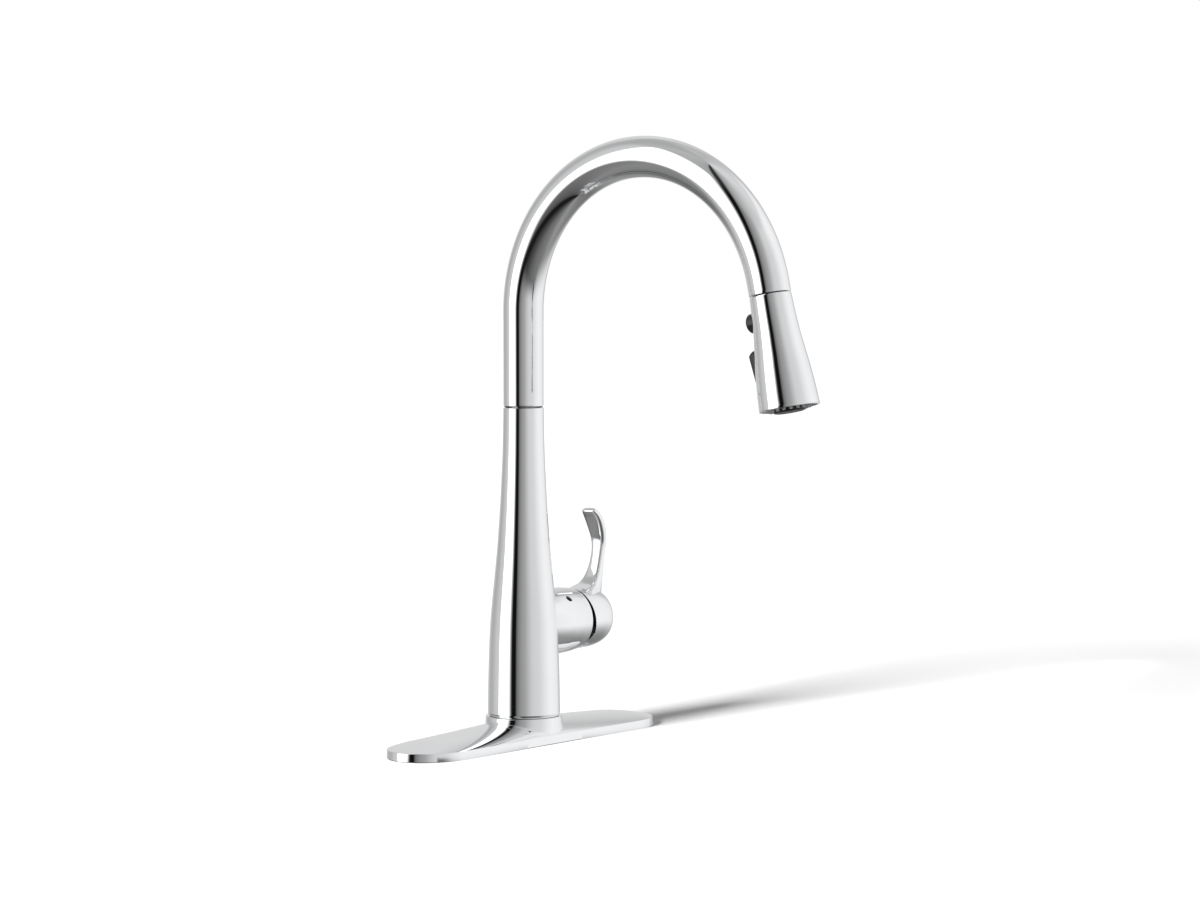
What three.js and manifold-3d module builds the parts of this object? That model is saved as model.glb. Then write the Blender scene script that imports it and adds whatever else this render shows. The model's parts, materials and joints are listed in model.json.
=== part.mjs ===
// Pull down kitchen faucet on a crowned deck plate, with a side lever and a docked spray head.
// Millimetres, +Z up. The origin is on the body axis in the plane of the counter top.
// The spout reaches towards -Y, the lever is on the +X side and the deck plate lies along X.
import * as THREE from 'three';
import { mergeVertices } from 'three/addons/utils/BufferGeometryUtils.js';
import Module from 'manifold-3d';

const wasm = await Module();
wasm.setup();

const GAP = 0.3; // running and assembly clearance between neighbouring pieces

// Deck plate
const PLATE_HALF_LENGTH = 131;
const PLATE_HALF_WIDTH = 28.6;
const PLATE_END = 35; // length of each elliptical end
const PLATE_EDGE = 5.9; // height of the plate at its edge
const PLATE_RIM = 3; // width of the solid rim around the gasket pocket
const GASKET_THICKNESS = 2.9;
const BOSS_TOP = 18.1;
const BOSS_RADIUS = 26.9;

// Body and swivel
const BODY_BOTTOM = 18.4;
const BODY_TOP = 234.3;
const SWIVEL_BORE = 12.6;
const SWIVEL_LEDGE = 172;
const BODY_OUTSIDE = [
  [25.2, BODY_BOTTOM], [25.4, BODY_BOTTOM + 0.5], [25.2, 36], [24.7, 56.8], [24.2, 70.8], [23.4, 84.9],
  [22.2, 98.9], [20.8, 113], [19.4, 127.1], [18.2, 141.1], [17.2, 155.2], [16.3, 169.2],
  [15.6, 183.3], [14.7, 204.4], [14.15, BODY_TOP - 0.4], [13.8, BODY_TOP],
];

// Neck: a vertical run, two nearly equal arcs and a short straight run to the dock
const NECK_RADIUS = 14.07;
const NECK_BORE = 12;
const NECK_BOTTOM = 235.3;
const ROOT_RADIUS = 11.2;
const ROOT_BORE = 8.8;
const ROOT_BOTTOM = 166;
const ARC_START = 301.4;
const ARC_RADIUS = 106;
const FRONT_ARC_RADIUS = 107.7;
const HEAD_TILT = 12.2; // degrees between the spray head and the vertical
const NECK_TAIL = 7.5;

// Spray hose
const HOSE_RADIUS = 6;
const HOSE_BOTTOM = -84;

// Shank and under-deck clamp
const SHANK_RADIUS = 16.4;
const SHANK_BORE = 13;
const SHANK_BOTTOM = -62;
const DECK_THICKNESS = 38;

// Valve hub on the +X side
const HUB_HEIGHT = 81.6;
const HUB_END = 50.6;
const HUB_BORE = 18.4;
const HUB_OUTSIDE = [
  [20.9, 6], [22.1, 14], [23, 23], [23.4, 31], [23.2, 39], [22.2, HUB_END - 1.2], [21.4, HUB_END],
]; // drawn in where it leaves the body
const PIVOT_X = 38; // the lever tilts about a pin here

// Spray head, measured along its own axis from the dock seam
const HEAD_LENGTH = 76.4;
const HEAD_OUTSIDE = [
  [13.6, 0.3], [13.95, 0.8], [14.9, 18.6], [16.6, 34.8], [18.2, 47.7], [19.7, 63.9], [20.3, 74.4], [20.1, HEAD_LENGTH],
];
const BUTTON_AT = 15.9;
const BUTTON_RADIUS = 6.7;
const TOGGLE_AT = 46.5;
const TOGGLE_HALF_WIDTH = 5.7;
const TOGGLE_PIN_Y = 12.2;
const NOZZLES = 18;
const NOZZLE_CIRCLE = 13.6;

const FINISH = {
  chrome: { color: 0xd9dcdf, metalness: 1, roughness: 0.06 },
  brass: { color: 0xc2a35a, metalness: 1, roughness: 0.3 },
  steel: { color: 0xa9adb0, metalness: 1, roughness: 0.35 },
  ceramic: { color: 0xe9e4da, metalness: 0, roughness: 0.2 },
  blackPlastic: { color: 0x141414, metalness: 0, roughness: 0.35 },
  greyPlastic: { color: 0x77797b, metalness: 0, roughness: 0.5 },
  whitePlastic: { color: 0xdedfdc, metalness: 0, roughness: 0.45 },
  rubber: { color: 0x202020, metalness: 0, roughness: 0.8 },
  greyRubber: { color: 0x5a5c5e, metalness: 0, roughness: 0.65 },
  braid: { color: 0x8d9195, metalness: 0.2, roughness: 0.6 },
};

const rad = THREE.MathUtils.degToRad;

// ---------- closed solids from three.js geometry ----------

function solid(geometry) {
  const bare = geometry.index ? geometry.toNonIndexed() : geometry;
  bare.deleteAttribute('normal');
  bare.deleteAttribute('uv');
  const welded = mergeVertices(bare, 1e-4);
  const corners = welded.index.array;
  const at = welded.attributes.position;
  const kept = [];
  let volume = 0;
  const a = new THREE.Vector3();
  const b = new THREE.Vector3();
  const c = new THREE.Vector3();
  for (let i = 0; i < corners.length; i += 3) {
    const [p, q, r] = [corners[i], corners[i + 1], corners[i + 2]];
    if (p === q || q === r || r === p) continue;
    kept.push(p, q, r);
    a.fromBufferAttribute(at, p);
    b.fromBufferAttribute(at, q);
    c.fromBufferAttribute(at, r);
    volume += a.dot(b.cross(c));
  }
  if (volume < 0) {
    for (let i = 0; i < kept.length; i += 3) [kept[i], kept[i + 1]] = [kept[i + 1], kept[i]];
  }
  return new wasm.Manifold(new wasm.Mesh({
    numProp: 3,
    vertProperties: new Float32Array(at.array),
    triVerts: new Uint32Array(kept),
  }));
}

function join(...pieces) {
  return pieces.reduce((whole, piece) => whole.add(piece));
}

function cut(piece, ...tools) {
  return tools.reduce((rest, tool) => rest.subtract(tool), piece);
}

// Turned piece on the Z axis from [radius, height] pairs.
function turned(profile, segments = 24) {
  const points = profile.map(([r, z]) => new THREE.Vector2(r, z));
  return new THREE.LatheGeometry(points, segments).rotateX(Math.PI / 2);
}

function ring(inner, outer, z0, z1, segments = 20) {
  return turned([[inner, z0], [outer, z0], [outer, z1], [inner, z1], [inner, z0]], segments);
}

function rod(radius, z0, z1, segments = 16) {
  return new THREE.CylinderGeometry(radius, radius, z1 - z0, segments)
    .rotateX(Math.PI / 2)
    .translate(0, 0, (z0 + z1) / 2);
}

function box(x0, x1, y0, y1, z0, z1) {
  return new THREE.BoxGeometry(x1 - x0, y1 - y0, z1 - z0)
    .translate((x0 + x1) / 2, (y0 + y1) / 2, (z0 + z1) / 2);
}

function prism(outline, z0, z1) {
  const shape = new THREE.Shape(outline.map(([x, y]) => new THREE.Vector2(x, y)));
  return new THREE.ExtrudeGeometry(shape, { depth: z1 - z0, bevelEnabled: false }).translate(0, 0, z0);
}

// Z axis onto +X, at the height of the valve hub
function onHub(geometry) {
  return geometry.rotateY(Math.PI / 2).translate(0, 0, HUB_HEIGHT);
}

// Z axis onto +Y
function alongY(geometry) {
  return geometry.rotateX(-Math.PI / 2);
}

// Profile measured down the spray head's axis
function turnedDown(profile, segments = 24) {
  return turned(profile.map(([r, t]) => [r, -t]), segments);
}

// ---------- routes in the plane of the spout ----------

// A planar route in YZ given as stations, used to sweep a section round the neck.
class Route extends THREE.Curve {
  constructor(stations) {
    super();
    this.stations = stations;
  }

  getPoint(t) {
    const scaled = t * (this.stations.length - 1);
    const i = Math.min(Math.floor(scaled), this.stations.length - 2);
    return this.stations[i].at.clone().lerp(this.stations[i + 1].at, scaled - i);
  }

  getSpacedPoints() {
    return this.stations.map((s) => s.at.clone());
  }

  computeFrenetFrames() {
    const across = new THREE.Vector3(1, 0, 0);
    return {
      tangents: this.stations.map((s) => s.along.clone()),
      normals: this.stations.map(() => across.clone()),
      binormals: this.stations.map((s) => s.along.clone().cross(across)),
    };
  }
}

function station(y, z, degreesOver) {
  const a = rad(degreesOver);
  return { at: new THREE.Vector3(0, y, z), along: new THREE.Vector3(0, -Math.sin(a), Math.cos(a)) };
}

// Stations of the neck's centre line from a start height to a distance past the second arc.
function neckStations(startZ, stepsBack, stepsFront, tail) {
  const list = [station(0, startZ, 0)];
  for (let i = 0; i <= stepsBack; i += 1) {
    const a = (90 * i) / stepsBack;
    list.push(station(-ARC_RADIUS * (1 - Math.cos(rad(a))), ARC_START + ARC_RADIUS * Math.sin(rad(a)), a));
  }
  const top = ARC_START + ARC_RADIUS - FRONT_ARC_RADIUS;
  const sweep = 90 - HEAD_TILT;
  for (let i = 1; i <= stepsFront; i += 1) {
    const a = (sweep * i) / stepsFront;
    const y = -ARC_RADIUS - FRONT_ARC_RADIUS * Math.sin(rad(a));
    list.push(station(y, top + FRONT_ARC_RADIUS * Math.cos(rad(a)), 90 + a));
  }
  if (tail > 0) {
    const last = list[list.length - 1];
    const end = last.at.clone().addScaledVector(last.along, tail);
    list.push({ at: end, along: last.along.clone() });
  }
  return list;
}

function sweep(radius, stations, segments) {
  const section = new THREE.Shape();
  for (let i = 0; i < segments; i += 1) {
    const a = (2 * Math.PI * i) / segments;
    const [x, y] = [radius * Math.cos(a), radius * Math.sin(a)];
    if (i) section.lineTo(x, y);
    else section.moveTo(x, y);
  }
  section.closePath();
  const extrudePath = new Route(stations);
  return new THREE.ExtrudeGeometry(section, { steps: stations.length - 1, extrudePath });
}

const seam = neckStations(ARC_START, 1, 1, NECK_TAIL).pop().at;

// Head-local axes (down the axis is -Z, the button side is +Y) into the part's frame
function onHead(shape) {
  return shape.rotate([-HEAD_TILT, 0, 0]).translate([seam.x, seam.y, seam.z]);
}

// ---------- deck plate and gasket ----------

// Plan outline of the plate, u going once round, drawn in by a margin.
function outlinePoint(u, inset = 0) {
  const quarter = Math.floor(u * 4) % 4;
  let v = u * 4 - Math.floor(u * 4);
  if (quarter % 2) v = 1 - v;
  const spine = PLATE_HALF_LENGTH - PLATE_END;
  const ends = 0.72;
  let x;
  let y;
  if (v <= ends) {
    const a = (v / ends) * (Math.PI / 2);
    x = spine + (PLATE_END - inset) * Math.cos(a);
    y = (PLATE_HALF_WIDTH - inset) * Math.sin(a);
  } else {
    x = spine * (1 - (v - ends) / (1 - ends));
    y = PLATE_HALF_WIDTH - inset;
  }
  return [quarter === 1 || quarter === 2 ? -x : x, quarter > 1 ? -y : y];
}

function plateOutline(inset, count) {
  return Array.from({ length: count }, (_, i) => outlinePoint(i / count, inset));
}

// Height of the crowned top: a ridge along X that rises towards the boss.
function plateHeight(x, y) {
  const beyond = Math.max(0, Math.abs(x) - (PLATE_HALF_LENGTH - PLATE_END)) / PLATE_END;
  const s = Math.min(1, Math.hypot(beyond, y / PLATE_HALF_WIDTH));
  const ridge = 16.7 - 0.06 * Math.abs(x);
  return PLATE_EDGE + (ridge - PLATE_EDGE) * (1 - s * s) ** 0.7;
}

function plateSlab(columns) {
  // [share of the way out to the edge, share of the local height]
  const rings = [
    [0, 1], [0.3, 1], [0.55, 1], [0.75, 1], [0.9, 1], [0.985, 1], [1, 0.86], [1, 0], [0, 0],
  ];
  const geometry = turned(rings, columns);
  const at = geometry.attributes.position;
  for (let i = 0; i < at.count; i += 1) {
    const share = Math.hypot(at.getX(i), at.getY(i));
    const u = (Math.atan2(at.getY(i), at.getX(i)) / (2 * Math.PI) + 1) % 1;
    const [bx, by] = outlinePoint((Math.round(u * columns) % columns) / columns);
    const [x, y] = [bx * share, by * share];
    at.setXYZ(i, x, y, at.getZ(i) * plateHeight(x, y));
  }
  return solid(geometry);
}

// Round boss under the body, its foot flaring further along the plate than across it.
function plateBoss() {
  const flare = [[0, BOSS_TOP], [0.3, 14.5], [0.8, 12], [1.5, 10], [2.2, 8.6], [2.2, 4]];
  const rings = [[0, BOSS_TOP], [BOSS_RADIUS - 0.4, BOSS_TOP]];
  for (const [out, z] of flare.slice(1)) rings.push([BOSS_RADIUS + out, z]);
  rings.splice(2, 0, [BOSS_RADIUS, BOSS_TOP - 0.4]);
  rings.push([0, 4]);
  const geometry = turned(rings, 32);
  const at = geometry.attributes.position;
  for (let i = 0; i < at.count; i += 1) {
    const [x, y] = [at.getX(i), at.getY(i)];
    const r = Math.hypot(x, y);
    if (r <= BOSS_RADIUS) continue;
    const across = (y / r) ** 2;
    const k = (BOSS_RADIUS + (r - BOSS_RADIUS) * (1 - 0.7 * across)) / r;
    at.setXY(i, x * k, y * k);
  }
  return solid(geometry);
}

const deckPlate = cut(
  join(plateSlab(44), plateBoss()),
  solid(prism(plateOutline(PLATE_RIM, 40), -1, GASKET_THICKNESS + GAP)),
  solid(rod(SHANK_RADIUS + 1, -2, 20, 24)),
  solid(ring(20.1, 22.9, 16.2, 20, 24)),
);

const deckGasket = cut(
  solid(prism(plateOutline(PLATE_RIM + GAP, 40), 0, GASKET_THICKNESS)),
  solid(rod(SHANK_RADIUS + 1, -1, 6, 24)),
);

// ---------- body ----------

const bodyShell = cut(
  join(
    solid(turned([[0, BODY_BOTTOM], ...BODY_OUTSIDE, [0, BODY_TOP]], 32)),
    solid(onHub(turned([[0, 6], ...HUB_OUTSIDE, [0, HUB_END]], 28))),
  ),
  solid(turned([
    [0, 17], [SHANK_RADIUS + GAP, 17], [SHANK_RADIUS + GAP, 34], [20.4, 38], [20.4, 95], [17, 120], [14.6, 145],
    [14.4, SWIVEL_LEDGE - 0.3], [SWIVEL_BORE, SWIVEL_LEDGE], [SWIVEL_BORE, 240], [0, 240],
  ], 24)),
  solid(onHub(rod(HUB_BORE, 2, HUB_END + 2, 24))),
  lockScrewTool(2.3, 17, 30),
);

// Small radial screw through the hub's upper front.
function lockScrewTool(radius, from, to) {
  const geometry = rod(radius, from, to, 12).rotateX(rad(90 - 46.6)).translate(30.6, 0, HUB_HEIGHT);
  return solid(geometry);
}

const lockScrew = cut(lockScrewTool(2.0, 18.2, 22.2), lockScrewTool(1.1, 20.6, 24));

const baseRing = solid(new THREE.TorusGeometry(21.5, 0.95, 6, 20).translate(0, 0, 17.35));

const shank = solid(ring(SHANK_BORE, SHANK_RADIUS, SHANK_BOTTOM, 33.6, 24));

const glideRings = [180, 222].map((z) => solid(ring(ROOT_RADIUS + GAP, SWIVEL_BORE - GAP, z, z + 7, 24)));

const swivelWasher = solid(ring(ROOT_RADIUS + GAP, 13.4, BODY_TOP + GAP, NECK_BOTTOM - GAP, 28));

// ---------- under the counter ----------

const DECK_UNDERSIDE = -DECK_THICKNESS;
const rubberWasher = solid(ring(SHANK_RADIUS + GAP, 31, DECK_UNDERSIDE - 3, DECK_UNDERSIDE, 24));
const steelWasher = solid(ring(SHANK_RADIUS + GAP, 30.5, DECK_UNDERSIDE - 5.3, DECK_UNDERSIDE - 3.3, 24));

const NUT_TOP = DECK_UNDERSIDE - 9;
const NUT_BOTTOM = NUT_TOP - 12;
const SCREW_CIRCLE = 23.4;
const nutOutline = Array.from({ length: 6 }, (_, i) => {
  const a = rad(60 * i);
  return [31 * Math.cos(a), 31 * Math.sin(a)];
});
const mountingNut = cut(
  solid(prism(nutOutline, NUT_BOTTOM, NUT_TOP)),
  solid(rod(SHANK_RADIUS + GAP, NUT_BOTTOM - 1, NUT_TOP + 1, 24)),
  solid(rod(2.8, NUT_BOTTOM - 1, NUT_TOP + 1, 12).translate(SCREW_CIRCLE, 0, 0)),
  solid(rod(2.8, NUT_BOTTOM - 1, NUT_TOP + 1, 12).translate(-SCREW_CIRCLE, 0, 0)),
);

function clampScrew(x) {
  const profile = [
    [0, NUT_BOTTOM - 8], [4.4, NUT_BOTTOM - 8], [4.4, NUT_BOTTOM - 4], [2.4, NUT_BOTTOM - 4],
    [2.4, DECK_UNDERSIDE - 6.4], [1.6, DECK_UNDERSIDE - 5.6], [0, DECK_UNDERSIDE - 5.6],
  ];
  const slot = box(-5, 5, -0.6, 0.6, NUT_BOTTOM - 9, NUT_BOTTOM - 6.6);
  return cut(solid(turned(profile, 12)), solid(slot)).translate([x, 0, 0]);
}

// ---------- valve ----------

const PORTS = [-9.5, 0, 9.5];
const PORT_X = 13;
const PORT_Z = HUB_HEIGHT - 5.6;
const MANIFOLD_END = 22;

const manifold = cut(
  solid(onHub(rod(18, 8.5, MANIFOLD_END, 24))),
  ...PORTS.map((y) => solid(rod(3.9, 55, PORT_Z + 4, 12).translate(PORT_X, y, 0))),
  ...PORTS.map((y) => solid(rod(2.6, 12, MANIFOLD_END + 1, 10).rotateY(Math.PI / 2).translate(0, y, PORT_Z))),
);

function nipple(y) {
  const foot = 44;
  const profile = [
    [2.2, foot], [3.0, foot], [3.6, foot + 1.5], [3.2, foot + 3], [3.6, foot + 4.5], [3.2, foot + 6],
    [3.6, foot + 7.5], [3.6, 72], [2.2, 72], [2.2, foot],
  ];
  return solid(turned(profile, 12).translate(PORT_X, y, 0));
}

const cartridgeHousing = cut(
  solid(onHub(rod(HUB_BORE - 0.4, MANIFOLD_END + GAP, 40, 24))),
  solid(onHub(rod(15.4, MANIFOLD_END - 1, 35, 20))),
  solid(onHub(rod(8.2, 30, 42, 20))),
);

const fixedDisc = cut(
  solid(onHub(rod(15.1, 22.6, 26.6, 20))),
  ...PORTS.map((y) => solid(rod(2.6, 20, 28, 10).rotateY(Math.PI / 2).translate(0, y, PORT_Z))),
);

const movingDisc = cut(
  solid(onHub(rod(12.4, 26.9, 30.9, 20))),
  solid(onHub(box(-2.5, 8, -4, 4, 25, 28.6))),
);

const turret = cut(
  join(solid(onHub(rod(13, 31.2, 34.7, 20))), solid(onHub(rod(7.8, 31.2, 46, 20)))),
  solid(onHub(box(-9, 9, -2.7, 2.7, 33.4, 50))),
  solid(alongY(rod(1.55, -9, 9, 10)).translate(PIVOT_X, 0, HUB_HEIGHT)),
);

const stemPin = solid(alongY(rod(1.25, -7.2, 7.2, 10)).translate(PIVOT_X, 0, HUB_HEIGHT));

const stem = cut(
  join(
    solid(onHub(box(-3.3, 3.3, -2.4, 2.4, 34.7, 45))),
    solid(onHub(box(-3, 3, -2.4, 2.4, 44, 64))),
  ),
  solid(alongY(rod(1.55, -4, 4, 10)).translate(PIVOT_X, 0, HUB_HEIGHT)),
);

const cartridgeNut = cut(
  solid(onHub(rod(HUB_BORE - 0.4, 40.3, 49.6, 24))),
  solid(onHub(turned([[0, 39], [9.4, 39], [9.4, 44], [14.6, 50], [14.6, 52], [0, 52]], 20))),
);

// ---------- handle: cap over the hub and a curved paddle rising from it ----------

const CAP_BOTTOM = 56.7; // the cap's lower rim stands further off the hub than its upper rim
const CAP_TOP = 51.2;
const capOutside = [
  [0, 46], [21.9, 46], [21.7, 60], [21.4, 66], [20.7, 71], [19.4, 75.5], [17, 79], [13.5, 81.6], [8, 83.6], [0, 84.6],
];
const capInside = [[0, 44], [19.4, 44], [19.4, 64], [17, 70], [12, 73], [0, 74]];

// Side view of the paddle in XZ, from its tip down the concave face and back up the outside
const paddleSide = [
  [71.2, 155.6], [73.2, 153], [75.4, 150.2], [78.2, 144], [80.2, 138.6], [80.9, 133.4], [80.3, 127.8], [79.4, 123.4],
  [77.6, 118.2], [75.4, 113.2], [72.4, 109], [68.2, 105.6], [62.6, 103.3], [56, 102.4], [56, 97], [78, 92],
  [80.9, 96.5], [81.6, 101.5], [82.4, 109], [84, 118.5], [85.9, 127.6], [86.7, 134], [86.2, 140], [84.6, 145.6],
  [81.8, 151.2], [78.6, 155.8], [75.8, 158.3], [73.6, 158.9], [71.8, 158], [71, 156.8],
];
// Half width of the paddle against height
const paddleWidth = [
  [90, 13], [98, 11.5], [102, 9.4], [105.5, 7], [109, 5.2], [114, 4], [120, 3.5], [126, 3.5], [131, 4.1],
  [137, 5], [144, 5.9], [150.5, 6.3], [154, 5.8], [157, 4.4], [158.6, 2.4],
];

const rimTilt = Math.atan2(CAP_BOTTOM - CAP_TOP, 43.6);
const rimTool = box(-40, 0, -40, 40, -40, 40)
  .rotateY(-rimTilt)
  .translate((CAP_BOTTOM + CAP_TOP) / 2, 0, HUB_HEIGHT);

const paddle = solid(prism(paddleSide, -14, 14).rotateX(Math.PI / 2)).intersect(
  solid(
    prism([...paddleWidth, ...paddleWidth.map(([z, w]) => [z, -w]).reverse()], 50, 90)
      .rotateZ(Math.PI / 2)
      .rotateX(Math.PI / 2)
      .rotateZ(Math.PI / 2),
  ),
);

const handle = cut(
  join(
    cut(
      join(solid(onHub(turned(capOutside, 28))), paddle),
      solid(onHub(turned(capInside, 20))),
    ),
    solid(onHub(rod(7, 58, 78, 16))),
  ),
  solid(rimTool),
  solid(onHub(box(-3.3, 3.3, -2.7, 2.7, 50, 64.4))),
  solid(rod(2.7, HUB_HEIGHT - 26, HUB_HEIGHT, 12).translate(62, 0, 0)),
);

const setScrew = cut(
  solid(rod(2.4, HUB_HEIGHT - 8.6, HUB_HEIGHT - 3.3, 12).translate(62, 0, 0)),
  solid(rod(1.2, HUB_HEIGHT - 9, HUB_HEIGHT - 6, 6).translate(62, 0, 0)),
);

const screwPlug = solid(rod(2.4, HUB_HEIGHT - 21.6, HUB_HEIGHT - 18, 12).translate(62, 0, 0));

// ---------- spout ----------

const neck = cut(
  join(
    solid(sweep(NECK_RADIUS, neckStations(NECK_BOTTOM, 13, 11, NECK_TAIL - GAP), 24)),
    solid(rod(ROOT_RADIUS, ROOT_BOTTOM, NECK_BOTTOM + 1, 24)),
  ),
  solid(sweep(NECK_BORE, neckStations(NECK_BOTTOM + 4, 11, 9, NECK_TAIL + 4), 16)),
  solid(rod(ROOT_BORE, ROOT_BOTTOM - 1, NECK_BOTTOM + 6, 20)),
  solid(ring(10, 12, 168, 170.4, 24)),
);

// Open spring clip in the groove of the neck's root, under the ledge of the body
function clip() {
  const [inner, outer, open] = [10.3, 13.9, 24];
  const outline = [];
  for (let i = 0; i <= 20; i += 1) {
    const a = rad(open + ((360 - 2 * open) * i) / 20);
    outline.push([outer * Math.cos(a), outer * Math.sin(a)]);
  }
  for (let i = 20; i >= 0; i -= 1) {
    const a = rad(open + ((360 - 2 * open) * i) / 20);
    outline.push([inner * Math.cos(a), inner * Math.sin(a)]);
  }
  return solid(prism(outline, 168.4, 170));
}

const hose = solid(sweep(HOSE_RADIUS, neckStations(HOSE_BOTTOM, 11, 10, -1), 12));

const coupling = solid(turned([
  [3.5, -106], [7, -106], [7, -100], [8.6, -99], [8.6, -90], [7.8, -89], [7.8, -76], [7.2, -75],
  [HOSE_RADIUS + GAP, -75], [HOSE_RADIUS + GAP, HOSE_BOTTOM - GAP], [3.5, HOSE_BOTTOM - GAP], [3.5, -106],
], 16));

const dockCollar = onHead(solid(turnedDown([
  [7, -7.1], [NECK_BORE - 0.35, -7.1], [NECK_BORE - 0.35, -0.6], [9.8, -0.6], [9.8, -5.3], [7, -5.3], [7, -7.1],
], 20)));

// ---------- hose end and spray head ----------

const hoseTail = onHead(solid(rod(HOSE_RADIUS, -3, NECK_TAIL - GAP, 12)));

const ferrule = onHead(solid(turnedDown([
  [3, 3.3], [7.2, 3.3], [7.2, 6], [6.6, 7], [6.6, 9], [7.2, 10], [7.2, 13], [3, 13], [3, 3.3],
], 16)));

const hoseWasher = onHead(solid(turnedDown([[3.6, 13.3], [7.2, 13.3], [7.2, 14.3], [3.6, 14.3], [3.6, 13.3]], 16)));

function headShell() {
  const inside = [
    [18.55, HEAD_LENGTH], [18.5, 71], [17.9, 63.9], [16.4, 47.7], [14.8, 34.8], [13.1, 18.6], [12.2, 2],
    [9.8, 2], [9.8, 0.3], HEAD_OUTSIDE[0],
  ];
  const shell = solid(turnedDown([...HEAD_OUTSIDE, ...inside], 28));
  const hole = solid(alongY(rod(BUTTON_RADIUS + 0.3, 5, 22, 20)).translate(0, 0, -BUTTON_AT));
  return onHead(cut(shell, hole, solid(toggleWindow(TOGGLE_HALF_WIDTH + 0.4, 32.5, 59.8, 5))));
}

// Rounded window through the shell, square to it, from one distance down the axis to another.
function toggleWindow(half, from, to, deep) {
  const corner = 3.2;
  const outline = [];
  const centres = [
    [half - corner, from + corner, 270], [half - corner, to - corner, 0],
    [corner - half, to - corner, 90], [corner - half, from + corner, 180],
  ];
  for (const [x, t, start] of centres) {
    for (let i = 0; i <= 3; i += 1) {
      const a = rad(start + 30 * i);
      outline.push([x + corner * Math.cos(a), t + corner * Math.sin(a)]);
    }
  }
  return alongY(prism(outline, deep, 26));
}

function headCore() {
  const body = solid(turnedDown([
    [7.6, -5], [9.5, -5], [9.5, 2.3], [11.2, 2.3], [11.2, 6], [8.2, 8], [8.2, 60], [16.7, 62.5], [17.3, 70],
    [14.2, 70], [14.2, 65], [4.5, 63], [4.5, 14.6], [7.6, 14.6], [7.6, -5],
  ], 20));
  const ears = [-1, 1].map((side) => {
    const [x0, x1] = side > 0 ? [6.3, 8] : [-8, -6.3];
    return solid(box(x0, x1, 0, 13.4, -TOGGLE_AT - 3.4, -TOGGLE_AT + 3.4));
  });
  const pinHole = solid(rod(1.3, -10, 10, 10).rotateY(Math.PI / 2).translate(0, TOGGLE_PIN_Y, -TOGGLE_AT));
  return onHead(cut(join(body, ...ears), pinHole, solid(turnedDown([[0, 30], [4.5, 30], [4.5, 55], [0, 55]], 24))));
}

const checkValve = onHead(solid(turnedDown([
  [1.8, 15.4], [4.1, 15.4], [4.1, 19], [3.5, 19.6], [3.5, 22], [4.1, 22.6], [4.1, 24], [1.8, 24], [1.8, 15.4],
], 12)));

const diverter = onHead(solid(turnedDown([
  [0, 42], [4, 42], [4, 45], [2.2, 45.6], [2.2, 52.4], [4, 53], [4, 56], [0, 56],
], 12)));

const togglePin = onHead(solid(
  rod(1, -7.8, 7.8, 10).rotateY(Math.PI / 2).translate(0, TOGGLE_PIN_Y, -TOGGLE_AT),
));

// Rocker that stands proud of the shell at its upper end and runs flush with it at the lower end
function toggle() {
  const envelope = solid(turnedDown([
    [0, 33], [17.6, 33], [18.6, 33.8], [21, 35.6], [22.4, 37.8], [22.9, 40.4], [22.6, 44], [21.8, 49], [20.6, 55],
    [19.8, 60], [0, 60],
  ], 40));
  const outer = solid(toggleWindow(TOGGLE_HALF_WIDTH, 33.6, 59.4, 12.6)).intersect(envelope);
  const hub = solid(box(-TOGGLE_HALF_WIDTH, TOGGLE_HALF_WIDTH, 10.4, 14, -TOGGLE_AT - 2.6, -TOGGLE_AT + 2.6));
  const pinHole = solid(rod(1.3, -8, 8, 10).rotateY(Math.PI / 2).translate(0, TOGGLE_PIN_Y, -TOGGLE_AT));
  return onHead(cut(join(outer, hub), pinHole));
}

const button = onHead(cut(
  solid(alongY(turned([
    [0, 9.7], [7.3, 9.7], [7.3, 10.2], [BUTTON_RADIUS, 10.2], [BUTTON_RADIUS, 17.4], [6.3, 18.4],
    [5, 19.4], [2.8, 20], [0, 20.1],
  ], 20)).translate(0, 0, -BUTTON_AT)),
  solid(alongY(rod(3.7, 8, 15, 12)).translate(0, 0, -BUTTON_AT)),
));

function buttonSpring() {
  const turns = 4;
  const steps = 32;
  const points = Array.from({ length: steps + 1 }, (_, i) => {
    const a = (2 * Math.PI * turns * i) / steps;
    return new THREE.Vector3(2.9 * Math.cos(a), 8.9 + (4.4 * i) / steps, 2.9 * Math.sin(a));
  });
  const section = new THREE.Shape();
  for (let i = 0; i < 4; i += 1) {
    const a = (Math.PI * i) / 2;
    if (i) section.lineTo(0.32 * Math.cos(a), 0.32 * Math.sin(a));
    else section.moveTo(0.32, 0);
  }
  const extrudePath = new THREE.CatmullRomCurve3(points);
  return onHead(solid(new THREE.ExtrudeGeometry(section, { steps: 34, extrudePath }).translate(0, 0, -BUTTON_AT)));
}

function aroundFace(make) {
  return Array.from({ length: NOZZLES }, (_, i) => {
    const a = (2 * Math.PI * i) / NOZZLES;
    return solid(make().translate(NOZZLE_CIRCLE * Math.cos(a), NOZZLE_CIRCLE * Math.sin(a), 0));
  });
}

const nozzleMat = onHead(join(
  solid(turnedDown([[8.3, 70.4], [17.4, 70.4], [17.4, 72.4], [8.3, 72.4], [8.3, 70.4]], 24)),
  ...aroundFace(() => turnedDown([[0, 71.4], [1.3, 71.4], [0.95, 77.5], [0, 77.5]], 6)),
));

const facePlate = onHead(cut(
  solid(turnedDown([
    [8.3, 72.7], [18.2, 72.7], [18.2, 75.4], [17.4, 76], [12, 76.8], [8.3, 77.4], [8.3, 72.7],
  ], 28)),
  ...aroundFace(() => rod(1.75, -80, -72, 6)),
));

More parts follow.
